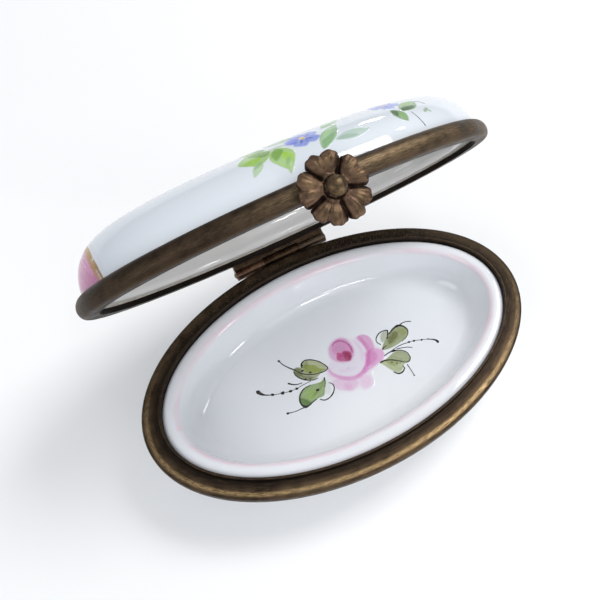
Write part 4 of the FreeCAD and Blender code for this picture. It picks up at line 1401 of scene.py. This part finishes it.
# --------------------------------------------------------------- stage, light
def floor_mat():
    g = Graph("pale_floor")
    n = g.noise(g.coords(), 6.0, 3.0)
    c = g.mix(n, (0.86, 0.86, 0.865), (0.90, 0.90, 0.90))
    return g.set(color=c, rough=0.9)


me = bpy.data.meshes.new("floor")
bm = bmesh.new()
bmesh.ops.create_grid(bm, x_segments=8, y_segments=8, size=3.0)
bm.to_mesh(me)
bm.free()
me.materials.append(floor_mat())
floor = bpy.data.objects.new("floor", me)
bpy.context.scene.collection.objects.link(floor)

world = bpy.data.worlds.new("studio")
bpy.context.scene.world = world
world.use_nodes = True
wt = world.node_tree
bg = wt.nodes["Background"]
bg.inputs["Strength"].default_value = 1.0
co = wt.nodes.new("ShaderNodeTexCoord")
sep = wt.nodes.new("ShaderNodeSeparateXYZ")
ramp = wt.nodes.new("ShaderNodeMapRange")
ramp.interpolation_type = "SMOOTHSTEP"
for key_, val in (("From Min", -0.05), ("From Max", 0.95), ("To Min", 0.24), ("To Max", 0.80)):
    ramp.inputs[key_].default_value = val
tintn = wt.nodes.new("ShaderNodeVectorMath")
tintn.operation = "SCALE"
tintn.inputs[0].default_value = (0.935, 0.965, 1.0)
wt.links.new(co.outputs["Generated"], sep.inputs[0])
wt.links.new(sep.outputs["Z"], ramp.inputs["Value"])
wt.links.new(ramp.outputs["Result"], tintn.inputs["Scale"])
wt.links.new(tintn.outputs["Vector"], bg.inputs["Color"])


def area(name, loc, target, size, power, color=(1, 1, 1), size_y=None):
    d = bpy.data.lights.new(name, "AREA")
    d.shape = "RECTANGLE"
    d.size = size
    d.size_y = size_y or size
    d.energy = power
    d.color = color
    o = bpy.data.objects.new(name, d)
    bpy.context.scene.collection.objects.link(o)
    o.location = loc
    o.rotation_mode = "QUATERNION"
    o.rotation_quaternion = (Vector(target) - Vector(loc)).to_track_quat("-Z", "Y")
    return o


mid = (0, 0.005, 0.015)
key = area("key", (0.36, 0.06, 0.52), mid, 0.24, 1.80, (1.0, 0.99, 0.975))
left = area("left", (-0.44, -0.16, 0.34), mid, 0.26, 0.58, (0.98, 0.99, 1.0))
fill = area("fill", (0.12, -0.55, 0.30), mid, 0.25, 0.22, (0.97, 0.985, 1.0))
window = area("window", (0.255, -0.40, 0.075), (0, 0.01, 0.008), 0.05, 0.30, (1, 1, 1), 0.12)
strip = area("strip", (0.012, -0.48, 0.105), (0.005, 0.01, 0.006), 0.12, 0.24, (1, 1, 1), 0.03)
pane = area("pane", (0.09, -0.44, 0.18), (0.002, 0.02, 0.016), 0.05, 0.12, (1, 1, 1), 0.016)
glint_a = area("glint_back", (0.27, 0.42, 0.12), (0.009, 0.009, 0.042), 0.05, 0.12, (1, 1, 1), 0.04)
glint_b = area("glint_side", (0.39, 0.18, 0.31), (0.011, 0.006, 0.041), 0.035, 0.07, (1, 1, 1), 0.03)
for o in (key, fill, window, strip, pane, glint_a, glint_b):
    o.visible_camera = False

sc = bpy.context.scene
sc.view_settings.view_transform = "Standard"
sc.view_settings.look = "None"
